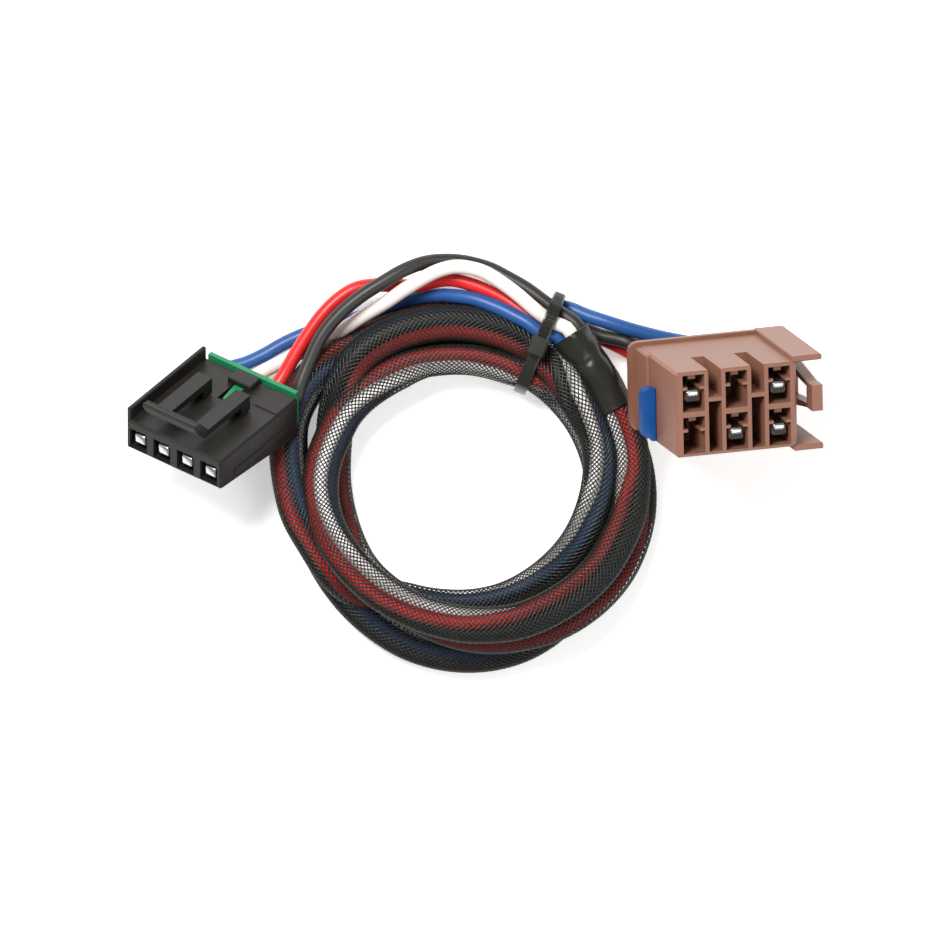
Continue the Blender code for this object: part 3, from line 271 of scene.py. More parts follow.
class Slot(str, Enum):
    """Material slots of the record."""

    BLACK_PLASTIC = "black_plastic"
    GREEN_PLASTIC = "green_plastic"
    BROWN_PLASTIC = "brown_plastic"
    BLUE_PLASTIC = "blue_plastic"
    TIN = "tin"
    BLUE = "blue_insulation"
    WHITE = "white_insulation"
    RED = "red_insulation"
    BLACK = "black_insulation"
    BRAID = "braid"
    HEAT_SHRINK = "heat_shrink"
    TIE_NYLON = "tie_nylon"


# ------------------------------------------------------------------------------------------------ node groups


def _group(name: str, inputs: dict[str, float], outputs: dict[str, str]) -> tuple:
    """Makes an empty shader node group.

    Args:
        name: the group's name.
        inputs: default value of each float input.
        outputs: socket type of each output.

    Returns:
        The group, its input node and its output node.
    """
    group = bpy.data.node_groups.new(name, "ShaderNodeTree")
    for label, value in inputs.items():
        group.interface.new_socket(label, in_out="INPUT", socket_type="NodeSocketFloat").default_value = value
    for label, kind in outputs.items():
        group.interface.new_socket(label, in_out="OUTPUT", socket_type=kind)
    return group, group.nodes.new("NodeGroupInput"), group.nodes.new("NodeGroupOutput")


def grain_group() -> bpy.types.NodeTree:
    """A fine moulded or extruded grain.

    Returns:
        A group with a Normal output and a Mask output that varies slowly.
    """
    group, given, result = _group(
        "fine_grain",
        {"Grain Scale": 3000.0, "Grain Height": 0.05, "Patch Scale": 120.0},
        {"Normal": "NodeSocketVector", "Mask": "NodeSocketFloat"},
    )
    nodes, link = group.nodes, group.links.new
    place = nodes.new("ShaderNodeTexCoord")
    fine = nodes.new("ShaderNodeTexNoise")
    fine.inputs["Detail"].default_value = 3.0
    patches = nodes.new("ShaderNodeTexNoise")
    patches.inputs["Detail"].default_value = 4.0
    bump = nodes.new("ShaderNodeBump")
    bump.inputs["Distance"].default_value = 0.1 * MM
    link(place.outputs["Object"], fine.inputs["Vector"])
    link(place.outputs["Object"], patches.inputs["Vector"])
    link(given.outputs["Grain Scale"], fine.inputs["Scale"])
    link(given.outputs["Patch Scale"], patches.inputs["Scale"])
    link(fine.outputs["Fac"], bump.inputs["Height"])
    link(given.outputs["Grain Height"], bump.inputs["Strength"])
    link(bump.outputs["Normal"], result.inputs["Normal"])
    link(patches.outputs["Fac"], result.inputs["Mask"])
    return group


def wear_group() -> bpy.types.NodeTree:
    """Sparse pale specks and fine scuffs.

    Returns:
        A group with a Mask output, mostly 0.
    """
    group, given, result = _group("scuffs", {"Scale": 260.0, "Amount": 0.3}, {"Mask": "NodeSocketFloat"})
    nodes, link = group.nodes, group.links.new
    place = nodes.new("ShaderNodeTexCoord")
    stretch = nodes.new("ShaderNodeMapping")
    stretch.inputs["Scale"].default_value = (1.0, 3.5, 1.7)
    noise = nodes.new("ShaderNodeTexNoise")
    noise.inputs["Detail"].default_value = 6.0
    noise.inputs["Roughness"].default_value = 0.7
    ramp = nodes.new("ShaderNodeMapRange")
    ramp.inputs["From Min"].default_value = 0.6
    ramp.inputs["From Max"].default_value = 0.78
    scale = nodes.new("ShaderNodeMath")
    scale.operation = "MULTIPLY"
    link(place.outputs["Object"], stretch.inputs["Vector"])
    link(stretch.outputs["Vector"], noise.inputs["Vector"])
    link(given.outputs["Scale"], noise.inputs["Scale"])
    link(noise.outputs["Fac"], ramp.inputs["Value"])
    link(ramp.outputs["Result"], scale.inputs[0])
    link(given.outputs["Amount"], scale.inputs[1])
    link(scale.outputs["Value"], result.inputs["Mask"])
    return group


@dataclass(frozen=True)
class Finish:
    """Colours and surface of one material, in linear values."""

    name: str
    dark: tuple[float, float, float]
    light: tuple[float, float, float]
    roughness: tuple[float, float]
    grain_scale: float = 3000.0
    grain_height: float = 0.15
    patch_scale: float = 150.0
    scuffs: float = 0.0
    scuff_colour: tuple[float, float, float] = (0.1, 0.1, 0.09)
    metallic: float = 0.0
    specular: float = 0.35
    # Painted highlight: a lighter colour for the bevelled edges of a CAD node, for the light caught on its
    # rounded edges.
    edge: tuple[float, float, float] | None = None

    def make(self, groups: dict[str, bpy.types.NodeTree]) -> bpy.types.Material:
        """Builds the material.

        Args:
            groups: the shared node groups by name.

        Returns:
            The material.
        """
        made = bpy.data.materials.new(self.name)
        made.use_nodes = True
        nodes, link = made.node_tree.nodes, made.node_tree.links.new
        shader = nodes["Principled BSDF"]
        grain = nodes.new("ShaderNodeGroup")
        grain.node_tree = groups["grain"]
        grain.inputs["Grain Scale"].default_value = self.grain_scale
        grain.inputs["Grain Height"].default_value = self.grain_height
        grain.inputs["Patch Scale"].default_value = self.patch_scale
        tone = nodes.new("ShaderNodeMix")
        tone.data_type = "RGBA"
        tone.inputs["A"].default_value = (*self.dark, 1.0)
        tone.inputs["B"].default_value = (*self.light, 1.0)
        link(grain.outputs["Mask"], tone.inputs["Factor"])
        colour = tone.outputs["Result"]
        if self.scuffs:
            scuffs = nodes.new("ShaderNodeGroup")
            scuffs.node_tree = groups["scuffs"]
            scuffs.inputs["Amount"].default_value = self.scuffs
            worn = nodes.new("ShaderNodeMix")
            worn.data_type = "RGBA"
            worn.inputs["B"].default_value = (*self.scuff_colour, 1.0)
            link(scuffs.outputs["Mask"], worn.inputs["Factor"])
            link(colour, worn.inputs["A"])
            colour = worn.outputs["Result"]
        rough = nodes.new("ShaderNodeMapRange")
        rough.inputs["To Min"].default_value = self.roughness[0]
        rough.inputs["To Max"].default_value = self.roughness[1]
        link(grain.outputs["Mask"], rough.inputs["Value"])
        link(colour, shader.inputs["Base Color"])
        link(rough.outputs["Result"], shader.inputs["Roughness"])
        link(grain.outputs["Normal"], shader.inputs["Normal"])
        shader.inputs["Metallic"].default_value = self.metallic
        shader.inputs["Specular IOR Level"].default_value = self.specular
        return made


def insulation(name: str, dark, light, roughness=(0.34, 0.46), patch_scale: float = 160) -> Finish:
    """A wire's insulation.

    Args:
        name: the finish's name.
        dark: its darker colour.
        light: its lighter colour.
        roughness: lowest and highest.
        patch_scale: scale of the change between its colours.

    Returns:
        The finish.
    """
    return Finish(f"{name} insulation", dark, light, roughness, 2200, 0.2, patch_scale)


def in_sleeve(name: str, dark, light) -> Finish:
    """A wire's insulation as it looks in the braid's shade, painted into its colour.

    Args:
        name: the colour's name.
        dark: its darker colour.
        light: its lighter colour.

    Returns:
        The finish.
    """
    return Finish(f"{name} insulation in the sleeve", dark, light, (0.5, 0.6), specular=0.15)


# The edge colours of the black and brown plastic are painted highlights on the plugs' bevelled edges.
FINISHES = {
    Slot.BLACK_PLASTIC: Finish(
        "black plastic", (0.006, 0.005, 0.004), (0.014, 0.012, 0.01), (0.36, 0.55), 2400, 0.3, 90, 0.2,
        specular=0.3, edge=(0.045, 0.042, 0.036),
    ),
    Slot.GREEN_PLASTIC: Finish(
        "green plastic", (0.006, 0.14, 0.055), (0.01, 0.22, 0.085), (0.35, 0.5), specular=0.3
    ),
    Slot.BROWN_PLASTIC: Finish(
        "brown plastic", (0.17, 0.075, 0.048), (0.245, 0.108, 0.068), (0.38, 0.52), 1600, 0.25, 70, 0.2,
        (0.5, 0.3, 0.2), specular=0.3, edge=(0.36, 0.12, 0.05),
    ),
    Slot.BLUE_PLASTIC: Finish(
        "blue plastic", (0.0, 0.045, 0.2), (0.0, 0.075, 0.28), (0.3, 0.45), specular=0.3
    ),
    Slot.TIN: Finish(
        "tin", (0.4, 0.41, 0.41), (0.66, 0.67, 0.67), (0.2, 0.36), 1800, 0.25, 300, metallic=1.0, specular=0.5
    ),
    Slot.BLUE: insulation("blue", (0.012, 0.058, 0.2), (0.02, 0.085, 0.27), patch_scale=200),
    Slot.WHITE: replace(
        insulation("white", (0.66, 0.58, 0.53), (0.78, 0.71, 0.66), (0.36, 0.5)), grain_height=0.15
    ),
    Slot.RED: insulation("red", (0.48, 0.01, 0.011), (0.62, 0.02, 0.018), (0.3, 0.44), 200),
    Slot.BLACK: replace(
        insulation("black", (0.012, 0.011, 0.01), (0.026, 0.024, 0.021), (0.38, 0.52)), grain_height=0.25
    ),
    Slot.BRAID: Finish("braid", (0.005, 0.0055, 0.0045), (0.018, 0.02, 0.016), (0.28, 0.42), 5000, 0.2, 500),
    Slot.HEAT_SHRINK: Finish(
        "heat-shrink", (0.008, 0.008, 0.006), (0.02, 0.019, 0.014), (0.16, 0.3), 500, 0.5, 180, 0.15,
        specular=0.4,
    ),
    Slot.TIE_NYLON: Finish(
        "tie nylon", (0.007, 0.0075, 0.006), (0.018, 0.018, 0.014), (0.26, 0.4), 1500, 0.2, 200, specular=0.4
    ),
}
# Painted shade: darker copies of the red, blue and black insulation for the wires under the braid; the white
# copy is painted lighter than the leads' white, a painted highlight.
SHADED = {
    Slot.RED: in_sleeve("red", (0.34, 0.006, 0.006), (0.5, 0.012, 0.01)),
    Slot.BLUE: in_sleeve("blue", (0.008, 0.024, 0.07), (0.012, 0.038, 0.11)),
    Slot.WHITE: in_sleeve("white", (0.76, 0.71, 0.68), (0.9, 0.87, 0.85)),
    Slot.BLACK: in_sleeve("black", (0.006, 0.006, 0.005), (0.012, 0.012, 0.01)),
}
WIRE_SLOTS = {"black": Slot.BLACK, "red": Slot.RED, "white": Slot.WHITE, "blue": Slot.BLUE}


# --------------------------------------------------------------------------------------------------- geometry


def spline(points, step: float) -> np.ndarray:
    """A centripetal Catmull-Rom curve through points.

    Args:
        points: places in mm.
        step: spacing of the result in mm.

    Returns:
        Evenly spaced points in mm.
    """
    knots = np.array(points, float)
    ends = np.vstack([2 * knots[0] - knots[1], knots, 2 * knots[-1] - knots[-2]])
    fine = []
    for a, b, c, d in zip(ends[:-3], ends[1:-2], ends[2:-1], ends[3:]):
        t1 = math.sqrt(np.linalg.norm(b - a))
        t2 = t1 + math.sqrt(np.linalg.norm(c - b))
        t3 = t2 + math.sqrt(np.linalg.norm(d - c))
        t = np.linspace(t1, t2, 12, endpoint=False)[:, None]
        ab = (t1 - t) / t1 * a + t / t1 * b
        bc = (t2 - t) / (t2 - t1) * b + (t - t1) / (t2 - t1) * c
        cd = (t3 - t) / (t3 - t2) * c + (t - t2) / (t3 - t2) * d
        abc = (t2 - t) / t2 * ab + t / t2 * bc
        bcd = (t3 - t) / (t3 - t1) * bc + (t - t1) / (t3 - t1) * cd
        fine.append((t2 - t) / (t2 - t1) * abc + (t - t1) / (t2 - t1) * bcd)
    fine = np.vstack([*fine, knots[-1:]])
    return resample(fine, step)


def lengths(points: np.ndarray) -> np.ndarray:
    """Distance of each point from the first along a line.

    Args:
        points: the line.

    Returns:
        One length per point.
    """
    return np.concatenate([[0.0], np.cumsum(np.linalg.norm(np.diff(points, axis=0), axis=1))])


def resample(points: np.ndarray, step: float) -> np.ndarray:
    """The same line with evenly spaced points.

    Args:
        points: the line.
        step: spacing.

    Returns:
        The new points, with both ends kept.
    """
    along = lengths(points)
    places = np.linspace(0.0, along[-1], max(2, round(along[-1] / step) + 1))
    return np.stack([np.interp(places, along, points[:, i]) for i in range(3)], axis=1)


def unit(vectors: np.ndarray) -> np.ndarray:
    """Vectors scaled to length 1.

    Args:
        vectors: an array whose last axis is x, y, z.

    Returns:
        The unit vectors.
    """
    return vectors / np.linalg.norm(vectors, axis=-1, keepdims=True)


def collection() -> bpy.types.Collection:
    """Where new objects go.

    Returns:
        The scene's own collection.
    """
    return bpy.context.scene.collection


def mesh_piece(name: str, verts: np.ndarray, faces, smooth: bool = True) -> bpy.types.Object:
    """A mesh object from arrays.

    Args:
        name: the object's name.
        verts: places in metres.
        faces: vertex numbers of each face.
        smooth: whether it is shaded smooth.

    Returns:
        The object, linked to the scene.
    """
    mesh = bpy.data.meshes.new(name)
    mesh.from_pydata(np.asarray(verts).reshape(-1, 3).tolist(), [], [list(map(int, f)) for f in faces])
    if smooth:
        mesh.shade_smooth()
    obj = bpy.data.objects.new(name, mesh)
    collection().objects.link(obj)
    return obj


def cord_piece(name: str, route: np.ndarray, radius: float) -> bpy.types.Object:
    """A round cord along points, with flat ends.

    Args:
        name: the object's name.
        route: places in mm.
        radius: in mm.

    Returns:
        The object.
    """
    forward = unit(np.gradient(route, axis=0))
    side = np.zeros_like(route)
    last = np.cross(forward[0], (0.3, 0.2, 0.93))
    for i, ahead in enumerate(forward):
        last = last - last.dot(ahead) * ahead
        last = last / np.linalg.norm(last)
        side[i] = last
    up = np.cross(forward, side)
    turn = np.linspace(0, 2 * math.pi, WIRE_SIDES, endpoint=False)[None, :, None]
    rings = route[:, None] + radius * (np.cos(turn) * side[:, None] + np.sin(turn) * up[:, None])
    faces = grid_faces(len(route), WIRE_SIDES, True)
    final = (len(route) - 1) * WIRE_SIDES
    faces += [tuple(range(WIRE_SIDES))[::-1], tuple(range(final, final + WIRE_SIDES))]
    return mesh_piece(name, rings * MM, faces)


def grid_faces(rows: int, columns: int, closed: bool) -> list[tuple[int, int, int, int]]:
    """Faces of a grid of vertices, row after row.

    Args:
        rows: number of rows.
        columns: vertices in a row.
        closed: whether the last column joins the first.

    Returns:
        The quads.
    """
    faces = []
    for i in range(rows - 1):
        for j in range(columns if closed else columns - 1):
            k = (j + 1) % columns
            faces.append((i * columns + j, i * columns + k, (i + 1) * columns + k, (i + 1) * columns + j))
    return faces


def fade(relief: tuple[float, float], distance: float) -> float:
    """A height that dies away from an edge.

    Args:
        relief: height at the edge and reach.
        distance: from the edge.

    Returns:
        The height there.
    """
    height, reach = relief
    return height * math.exp(-distance / reach)


def bump(relief: tuple[float, float, float], distance: float, total: float) -> float:
    """A height that dies away on both sides of a place.

    Args:
        relief: height, place as a share of the length, and reach.
        distance: from the start.
        total: the whole length.

    Returns:
        The height there.
    """
    height, share, reach = relief
    return height * math.exp(-(((distance - share * total) / reach) ** 2))


@dataclass
class PlugFrame:
    """A plug's own axes."""

    origin: tuple[float, float, float]
    right: tuple[float, float, float]
    back: tuple[float, float, float]
    matrix: Matrix = field(init=False)

    def __post_init__(self) -> None:
        x = Vector(self.right).normalized()
        y = Vector(self.back)
        y = (y - y.project(x)).normalized()
        self.matrix = Matrix.Translation(self.origin) @ Matrix((x, y, x.cross(y))).transposed().to_4x4()

    def point(self, x: float, y: float, z: float) -> tuple[float, float, float]:
        """A place of the plug in the row frame.

        Args:
            x: right, in mm.
            y: back, in mm.
            z: up, in mm.

        Returns:
            The place in mm.
        """
        return tuple(self.matrix @ Vector((x, y, z)))

    def block(self, name: str, low, high, bevel: float) -> bpy.types.Object:
        """A bevelled box in the plug's axes.

        Args:
            name: the object's name.
            low: lowest corner in mm.
            high: highest corner in mm.
            bevel: size of the bevel in mm.

        Returns:
            The object.
        """
        solid = bmesh.new()
        bmesh.ops.create_cube(solid, size=1.0)
        size = Vector(high) - Vector(low)
        middle = (Vector(high) + Vector(low)) / 2
        for vertex in solid.verts:
            vertex.co = Vector(a * b for a, b in zip(vertex.co, size)) + middle
        bmesh.ops.bevel(solid, geom=solid.edges[:], offset=bevel, segments=2, profile=0.6, affect="EDGES")
        solid.transform(Matrix.Scale(MM, 4) @ self.matrix)
        mesh = bpy.data.meshes.new(name)
        solid.to_mesh(mesh)
        solid.free()
        obj = bpy.data.objects.new(name, mesh)
        collection().objects.link(obj)
        return obj


class Wardrobe:
    """Makes each material once and puts it on pieces and CAD nodes."""

    def __init__(self) -> None:
        groups = {"grain": grain_group(), "scuffs": wear_group()}
        self.materials = {slot: finish.make(groups) for slot, finish in FINISHES.items()}
        self.shaded = {slot: finish.make(groups) for slot, finish in SHADED.items()}
        # Painted highlight: a copy of each finish in its lighter edge colour, for the bevelled edges.
        self.edges = {
            slot: replace(
                finish, name=f"{finish.name} edges", dark=finish.edge, light=finish.edge, scuffs=0.0
            ).make(groups)
            for slot, finish in FINISHES.items()
            if finish.edge
        }

    def dress(self, obj: bpy.types.Object, slot: Slot, body: Body | None = Body.HARNESS) -> bpy.types.Object:
        """Gives a piece the material of its slot, and its body.

        Args:
            obj: the piece.
            slot: its material slot.
            body: the CAD body it rides on, or None for a CAD node.

        Returns:
            The same object.
        """
        obj.data.materials.clear()
        obj.data.materials.append(self.materials[slot])
        if body is not None:
            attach(obj, body.value)
        return obj

    def terminal(self, name: str, block, x: float, z: float, low: float, high: float) -> None:
        """Dresses a terminal and rounds its mouth over with the spring that shows there; a thin black plate
        under the spring is painted shade in the terminal's open mouth.

        Args:
            name: the terminal's CAD node.
            block: the plug frame's function that makes a box.
            x: place of the terminal's axis in mm.
            z: place of the terminal's axis in mm.
            low: underside of the spring above the axis in mm.
            high: top of the spring above the axis in mm.
        """
        self.node(name, Slot.TIN, TERMINAL_EDGE)
        front, back = SPRING_DEPTH
        half = SPRING_HALF_WIDTH
        spring = block(f"{name}_spring", (x - half, front, z + low), (x + half, back, z + high), SPRING_EDGE)
        spring.data.shade_smooth()
        self.dress(spring, Slot.TIN)
        # Painted shade: a thin black plate in the terminal's mouth, below the spring, for the dark hollow
        # there.
        front, back = MOUTH_DEPTH
        half = MOUTH_HALF_WIDTH
        top = z + low + MOUTH_OVERLAP
        mouth = block(f"{name}_mouth", (x - half, front, z + MOUTH_FLOOR), (x + half, back, top), MOUTH_EDGE)
        self.dress(mouth, Slot.BLACK_PLASTIC)

    def node(self, name: str, slot: Slot, bevel: float = PLUG_EDGE) -> None:
        """Dresses a CAD node that stays as it is.

        Args:
            name: the node's name.
            slot: its material slot.
            bevel: width of the rounding of its edges in mm.
        """
        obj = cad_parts[name]
        self.dress(obj, slot, None)
        edges = obj.modifiers.new("rounded edges", "BEVEL")
        edges.width = bevel * MM
        edges.segments = 2
        edges.limit_method = "ANGLE"
        edges.angle_limit = math.radians(EDGE_ANGLE)
        edges.use_clamp_overlap = True
        # The bevel faces take the painted edge highlight.
        if slot in self.edges:
            obj.data.materials.append(self.edges[slot])
            edges.material = 1


# ------------------------------------------------------------------------------------------------------- loom


class Loom:
    """The coiled loom: four wires in a braided sleeve."""

    def __init__(self, wardrobe: Wardrobe) -> None:
        self.wardrobe = wardrobe
        keys = np.array(TURNS)
        angles = np.arange(keys[0, 0], keys[-1, 0], 1.0)
        radius, height = (self._smooth(keys[:, 0], keys[:, i], angles) for i in (1, 2))
        turn = np.radians(angles)
        self.line = np.stack(
            [COIL_CENTRE[0] + radius * np.cos(turn), COIL_CENTRE[1] - radius * np.sin(turn), height], axis=1
        )
        self.angles = angles

    @staticmethod
    def _smooth(at: np.ndarray, values: np.ndarray, wanted: np.ndarray) -> np.ndarray:
        """Smooth values between keys.

        Args:
            at: where the keys are.
            values: the keys' values.
            wanted: where to evaluate.

        Returns:
            Interpolated values, averaged over a few degrees.
        """
        window = np.array(SMOOTHING, float)
        reach = len(window) // 2
        before, after = wanted[0] - np.arange(reach, 0, -1), wanted[-1] + np.arange(1, reach + 1)
        fine = np.interp(np.concatenate([before, wanted, after]), at, values)
        return np.convolve(fine, window / window.sum(), mode="valid")

    def section(self, step: float) -> tuple[np.ndarray, ...]:
        """The centreline with its axes at even steps.

        Args:
            step: spacing in mm.

        Returns:
            Points, outward axis, upward axis, forward axis, turn angle and half-width.
        """
        along = lengths(self.line)
        places = np.arange(0.0, along[-1], step)
        points = np.stack([np.interp(places, along, self.line[:, i]) for i in range(3)], axis=1)
        angle = np.interp(places, along, self.angles)
        forward = unit(np.gradient(points, axis=0))
        turn = np.radians(angle)
        outward = np.stack([np.cos(turn), -np.sin(turn), np.zeros_like(turn)], axis=1)
        outward = unit(outward - (outward * forward).sum(1, keepdims=True) * forward)
        upward = np.cross(outward, forward)
        upward *= np.sign(upward[:, 2:])
        narrow = np.interp(angle, NARROW_FROM_TO, (0, 1, 1, 0))
        half = SLEEVE_HALF_WIDTH + narrow * (SLEEVE_NARROW - SLEEVE_HALF_WIDTH)
        return points, outward, upward, forward, angle, half

    def braid(self, hand: int, name: str) -> bpy.types.Object:
        """The strands of one hand of the sleeve.

        Args:
            hand: 1 or -1.
            name: the object's name.

        Returns:
            The object.
        """
        step = HELIX_LENGTH / (2 * STRANDS)
        points, outward, upward, forward, _, half = self.section(step)
        count = len(points)
        index = np.arange(count)
        start = 2 * math.pi * np.arange(STRANDS)[:, None] / STRANDS
        around = start + hand * math.pi * index[None, :] / STRANDS
        weave = hand * STRAND_WEAVE * np.where(index % 2, -1.0, 1.0)
        cosine, sine = np.cos(around), np.sin(around)
        full = 1.0 + SLEEVE_CORNER * np.sin(2 * around) ** 2
        wide, tall = half[None] * full * cosine, SLEEVE_HALF_HEIGHT * full * sine
        radial = cosine[..., None] * outward + sine[..., None] * upward
        middle = points[None] + wide[..., None] * outward + tall[..., None] * upward
        middle = middle + weave[None, :, None] * radial
        side = -sine[..., None] * outward + cosine[..., None] * upward
        pitch = math.atan2(2 * math.pi * HELIX_RADIUS, HELIX_LENGTH)
        across = math.cos(pitch) * side - hand * math.sin(pitch) * forward[None]
        rows = np.stack(
            [
                middle - across * STRAND_WIDTH / 2 - radial * STRAND_CROWN,
                middle + radial * STRAND_CROWN,
                middle + across * STRAND_WIDTH / 2 - radial * STRAND_CROWN,
            ],
            axis=2,
        )
        verts = rows.reshape(-1, 3) * MM
        base = (np.arange(STRANDS)[:, None] * count + np.arange(count - 1)[None, :]).reshape(-1) * 3
        left = np.stack([base, base + 1, base + 4, base + 3], axis=1)
        right = np.stack([base + 1, base + 2, base + 5, base + 4], axis=1)
        quads = np.concatenate([left, right])
        mesh = bpy.data.meshes.new(name)
        mesh.vertices.add(len(verts))
        mesh.vertices.foreach_set("co", verts.ravel())
        mesh.loops.add(quads.size)
        mesh.loops.foreach_set("vertex_index", quads.ravel())
        mesh.polygons.add(len(quads))
        mesh.polygons.foreach_set("loop_start", np.arange(0, quads.size, 4))
        mesh.update(calc_edges=True)
        mesh.shade_smooth()
        obj = bpy.data.objects.new(name, mesh)
        collection().objects.link(obj)
        return self.wardrobe.dress(obj, Slot.BRAID)

    def wire(self, colour: str, column: int) -> bpy.types.Object:
        """One of the wires inside the sleeve.

        Args:
            colour: its colour.
            column: its column in the table of places.

        Returns:
            The object.
        """
        points, outward, upward, _, angle, half = self.section(LOOM_STEP)
        table = np.array(WIRE_PLACES, float)
        place = np.radians(np.interp(angle, table[:, 0], table[:, column]))
        wide = WIRE_OFFSET * half / SLEEVE_HALF_WIDTH
        tall = WIRE_OFFSET * (SLEEVE_HALF_HEIGHT - WIRE_RADIUS) / (SLEEVE_HALF_WIDTH - WIRE_RADIUS)
        route = points + (wide * np.cos(place))[:, None] * outward + (tall * np.sin(place))[:, None] * upward
        obj = cord_piece(f"loom_wire_{colour}", route, WIRE_RADIUS)
        self.wardrobe.dress(obj, WIRE_SLOTS[colour])
        # The wire takes the in-sleeve copy of its insulation, with the braid's shade painted in and the white
        # painted lighter.
        obj.data.materials[0] = self.wardrobe.shaded[WIRE_SLOTS[colour]]
        return obj

    def build(self, riders: list) -> None:
        """Args:
            riders: other pieces that go with the loom; not used.
        """
        sleeve = self.braid(1, "loom_braid_right_hand")
        others = [self.braid(-1, "loom_braid_left_hand")]
        others += [self.wire(colour, i) for i, colour in enumerate(WIRE_SLOTS, 1)]
        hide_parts("loom_coil")


class HeatShrink:
    """A shrunk sleeve over one end of the braid."""

    def __init__(self, wardrobe: Wardrobe, node: str, route, half_width: float, half_height: float) -> None:
        self.wardrobe = wardrobe
        self.node = node
        self.route = route
        self.half_width = half_width
        self.half_height = half_height

    def build(self) -> bpy.types.Object:
        """Lofts the sleeve: lobed at the mouth where the leads come out, and creased further along.

        Returns:
            The object.
        """
        line = spline(self.route, SHRINK_STEP)
        along = lengths(line)
        forward = unit(np.gradient(line, axis=0))
        side = unit(np.cross(forward, (0.0, 0.0, 1.0)))
        up = np.cross(side, forward)
        turn = np.linspace(0, 2 * math.pi, SHRINK_SIDES, endpoint=False)
        total = along[-1]

        def ring(i: int, shrink: float) -> np.ndarray:
            """The section at one point of the route.

            Args:
                i: the point's number.
                shrink: how much smaller than the outside, as a share.

            Returns:
                Places in mm.
            """
            s = along[i]
            lobes = fade(LOBE, s) * np.cos(LOBES * (turn - LOBE_TWIST * s / 10))
            crease = bump(CREASE, s, total) * (0.6 + 0.4 * np.cos(turn - 0.8))
            facets = bump(FACET, s, total) * np.cos(FACETS * turn + 0.9 * s)
            lip = fade(MOUTH_LIP, s) + fade(END_LIP, total - s)
            scale = 1.0 + lobes - crease + facets + bump(BULGE, s, total) + lip - shrink
            wide = self.half_width * scale * np.cos(turn)
            tall = self.half_height * scale * np.sin(turn)
            return line[i] + wide[:, None] * side[i] + tall[:, None] * up[i]

        rings = [ring(i, SHRINK_WALL_MOUTH) for i in (6, 3, 1)]
        rings += [ring(i, 0.0) for i in range(len(line))]
        rings += [ring(len(line) - i, SHRINK_WALL_END) for i in (1, 4)]
        rings = np.array(rings) * MM
        obj = mesh_piece(f"{self.node}_sleeve", rings, grid_faces(len(rings), SHRINK_SIDES, True))
        self.wardrobe.dress(obj, Slot.HEAT_SHRINK)
        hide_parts(self.node)
        return obj


class Leads:
    """The separate wires between a plug and the braid."""

    def __init__(self, wardrobe: Wardrobe, plug: PlugFrame, end: str) -> None:
        self.wardrobe = wardrobe
        self.plug = plug
        self.end = end

    def build(self, routes, cavities, depth: float, straight: float, shrink, plug_first: bool) -> None:
        """Args:
            routes: points of each lead in mm.
            cavities: each lead's place in the plug.
            depth: the plug's depth in mm.
            straight: how far a lead runs straight behind the plug in mm.
            shrink: the heat-shrink's route from its mouth inwards.
            plug_first: whether the routes start at the plug.
        """
        inwards = unit(np.array(shrink[1], float) - np.array(shrink[0], float))
        for colour, route in routes.items():
            x, z = cavities[colour]
            stations = (WIRE_START, (WIRE_START + depth) / 2, depth, depth + straight)
            inside = [self.plug.point(x, y, z) for y in stations]
            outside = list(route if plug_first else route[::-1])
            outside.append(tuple(np.array(outside[-1]) + inwards * LEAD_IN_SHRINK))
            points = spline([*inside, *outside], LEAD_STEP)
            obj = cord_piece(f"{self.end}_{colour}_wire", points, WIRE_RADIUS)
            self.wardrobe.dress(obj, WIRE_SLOTS[colour])
            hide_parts(f"{self.end}_lead_{colour}")


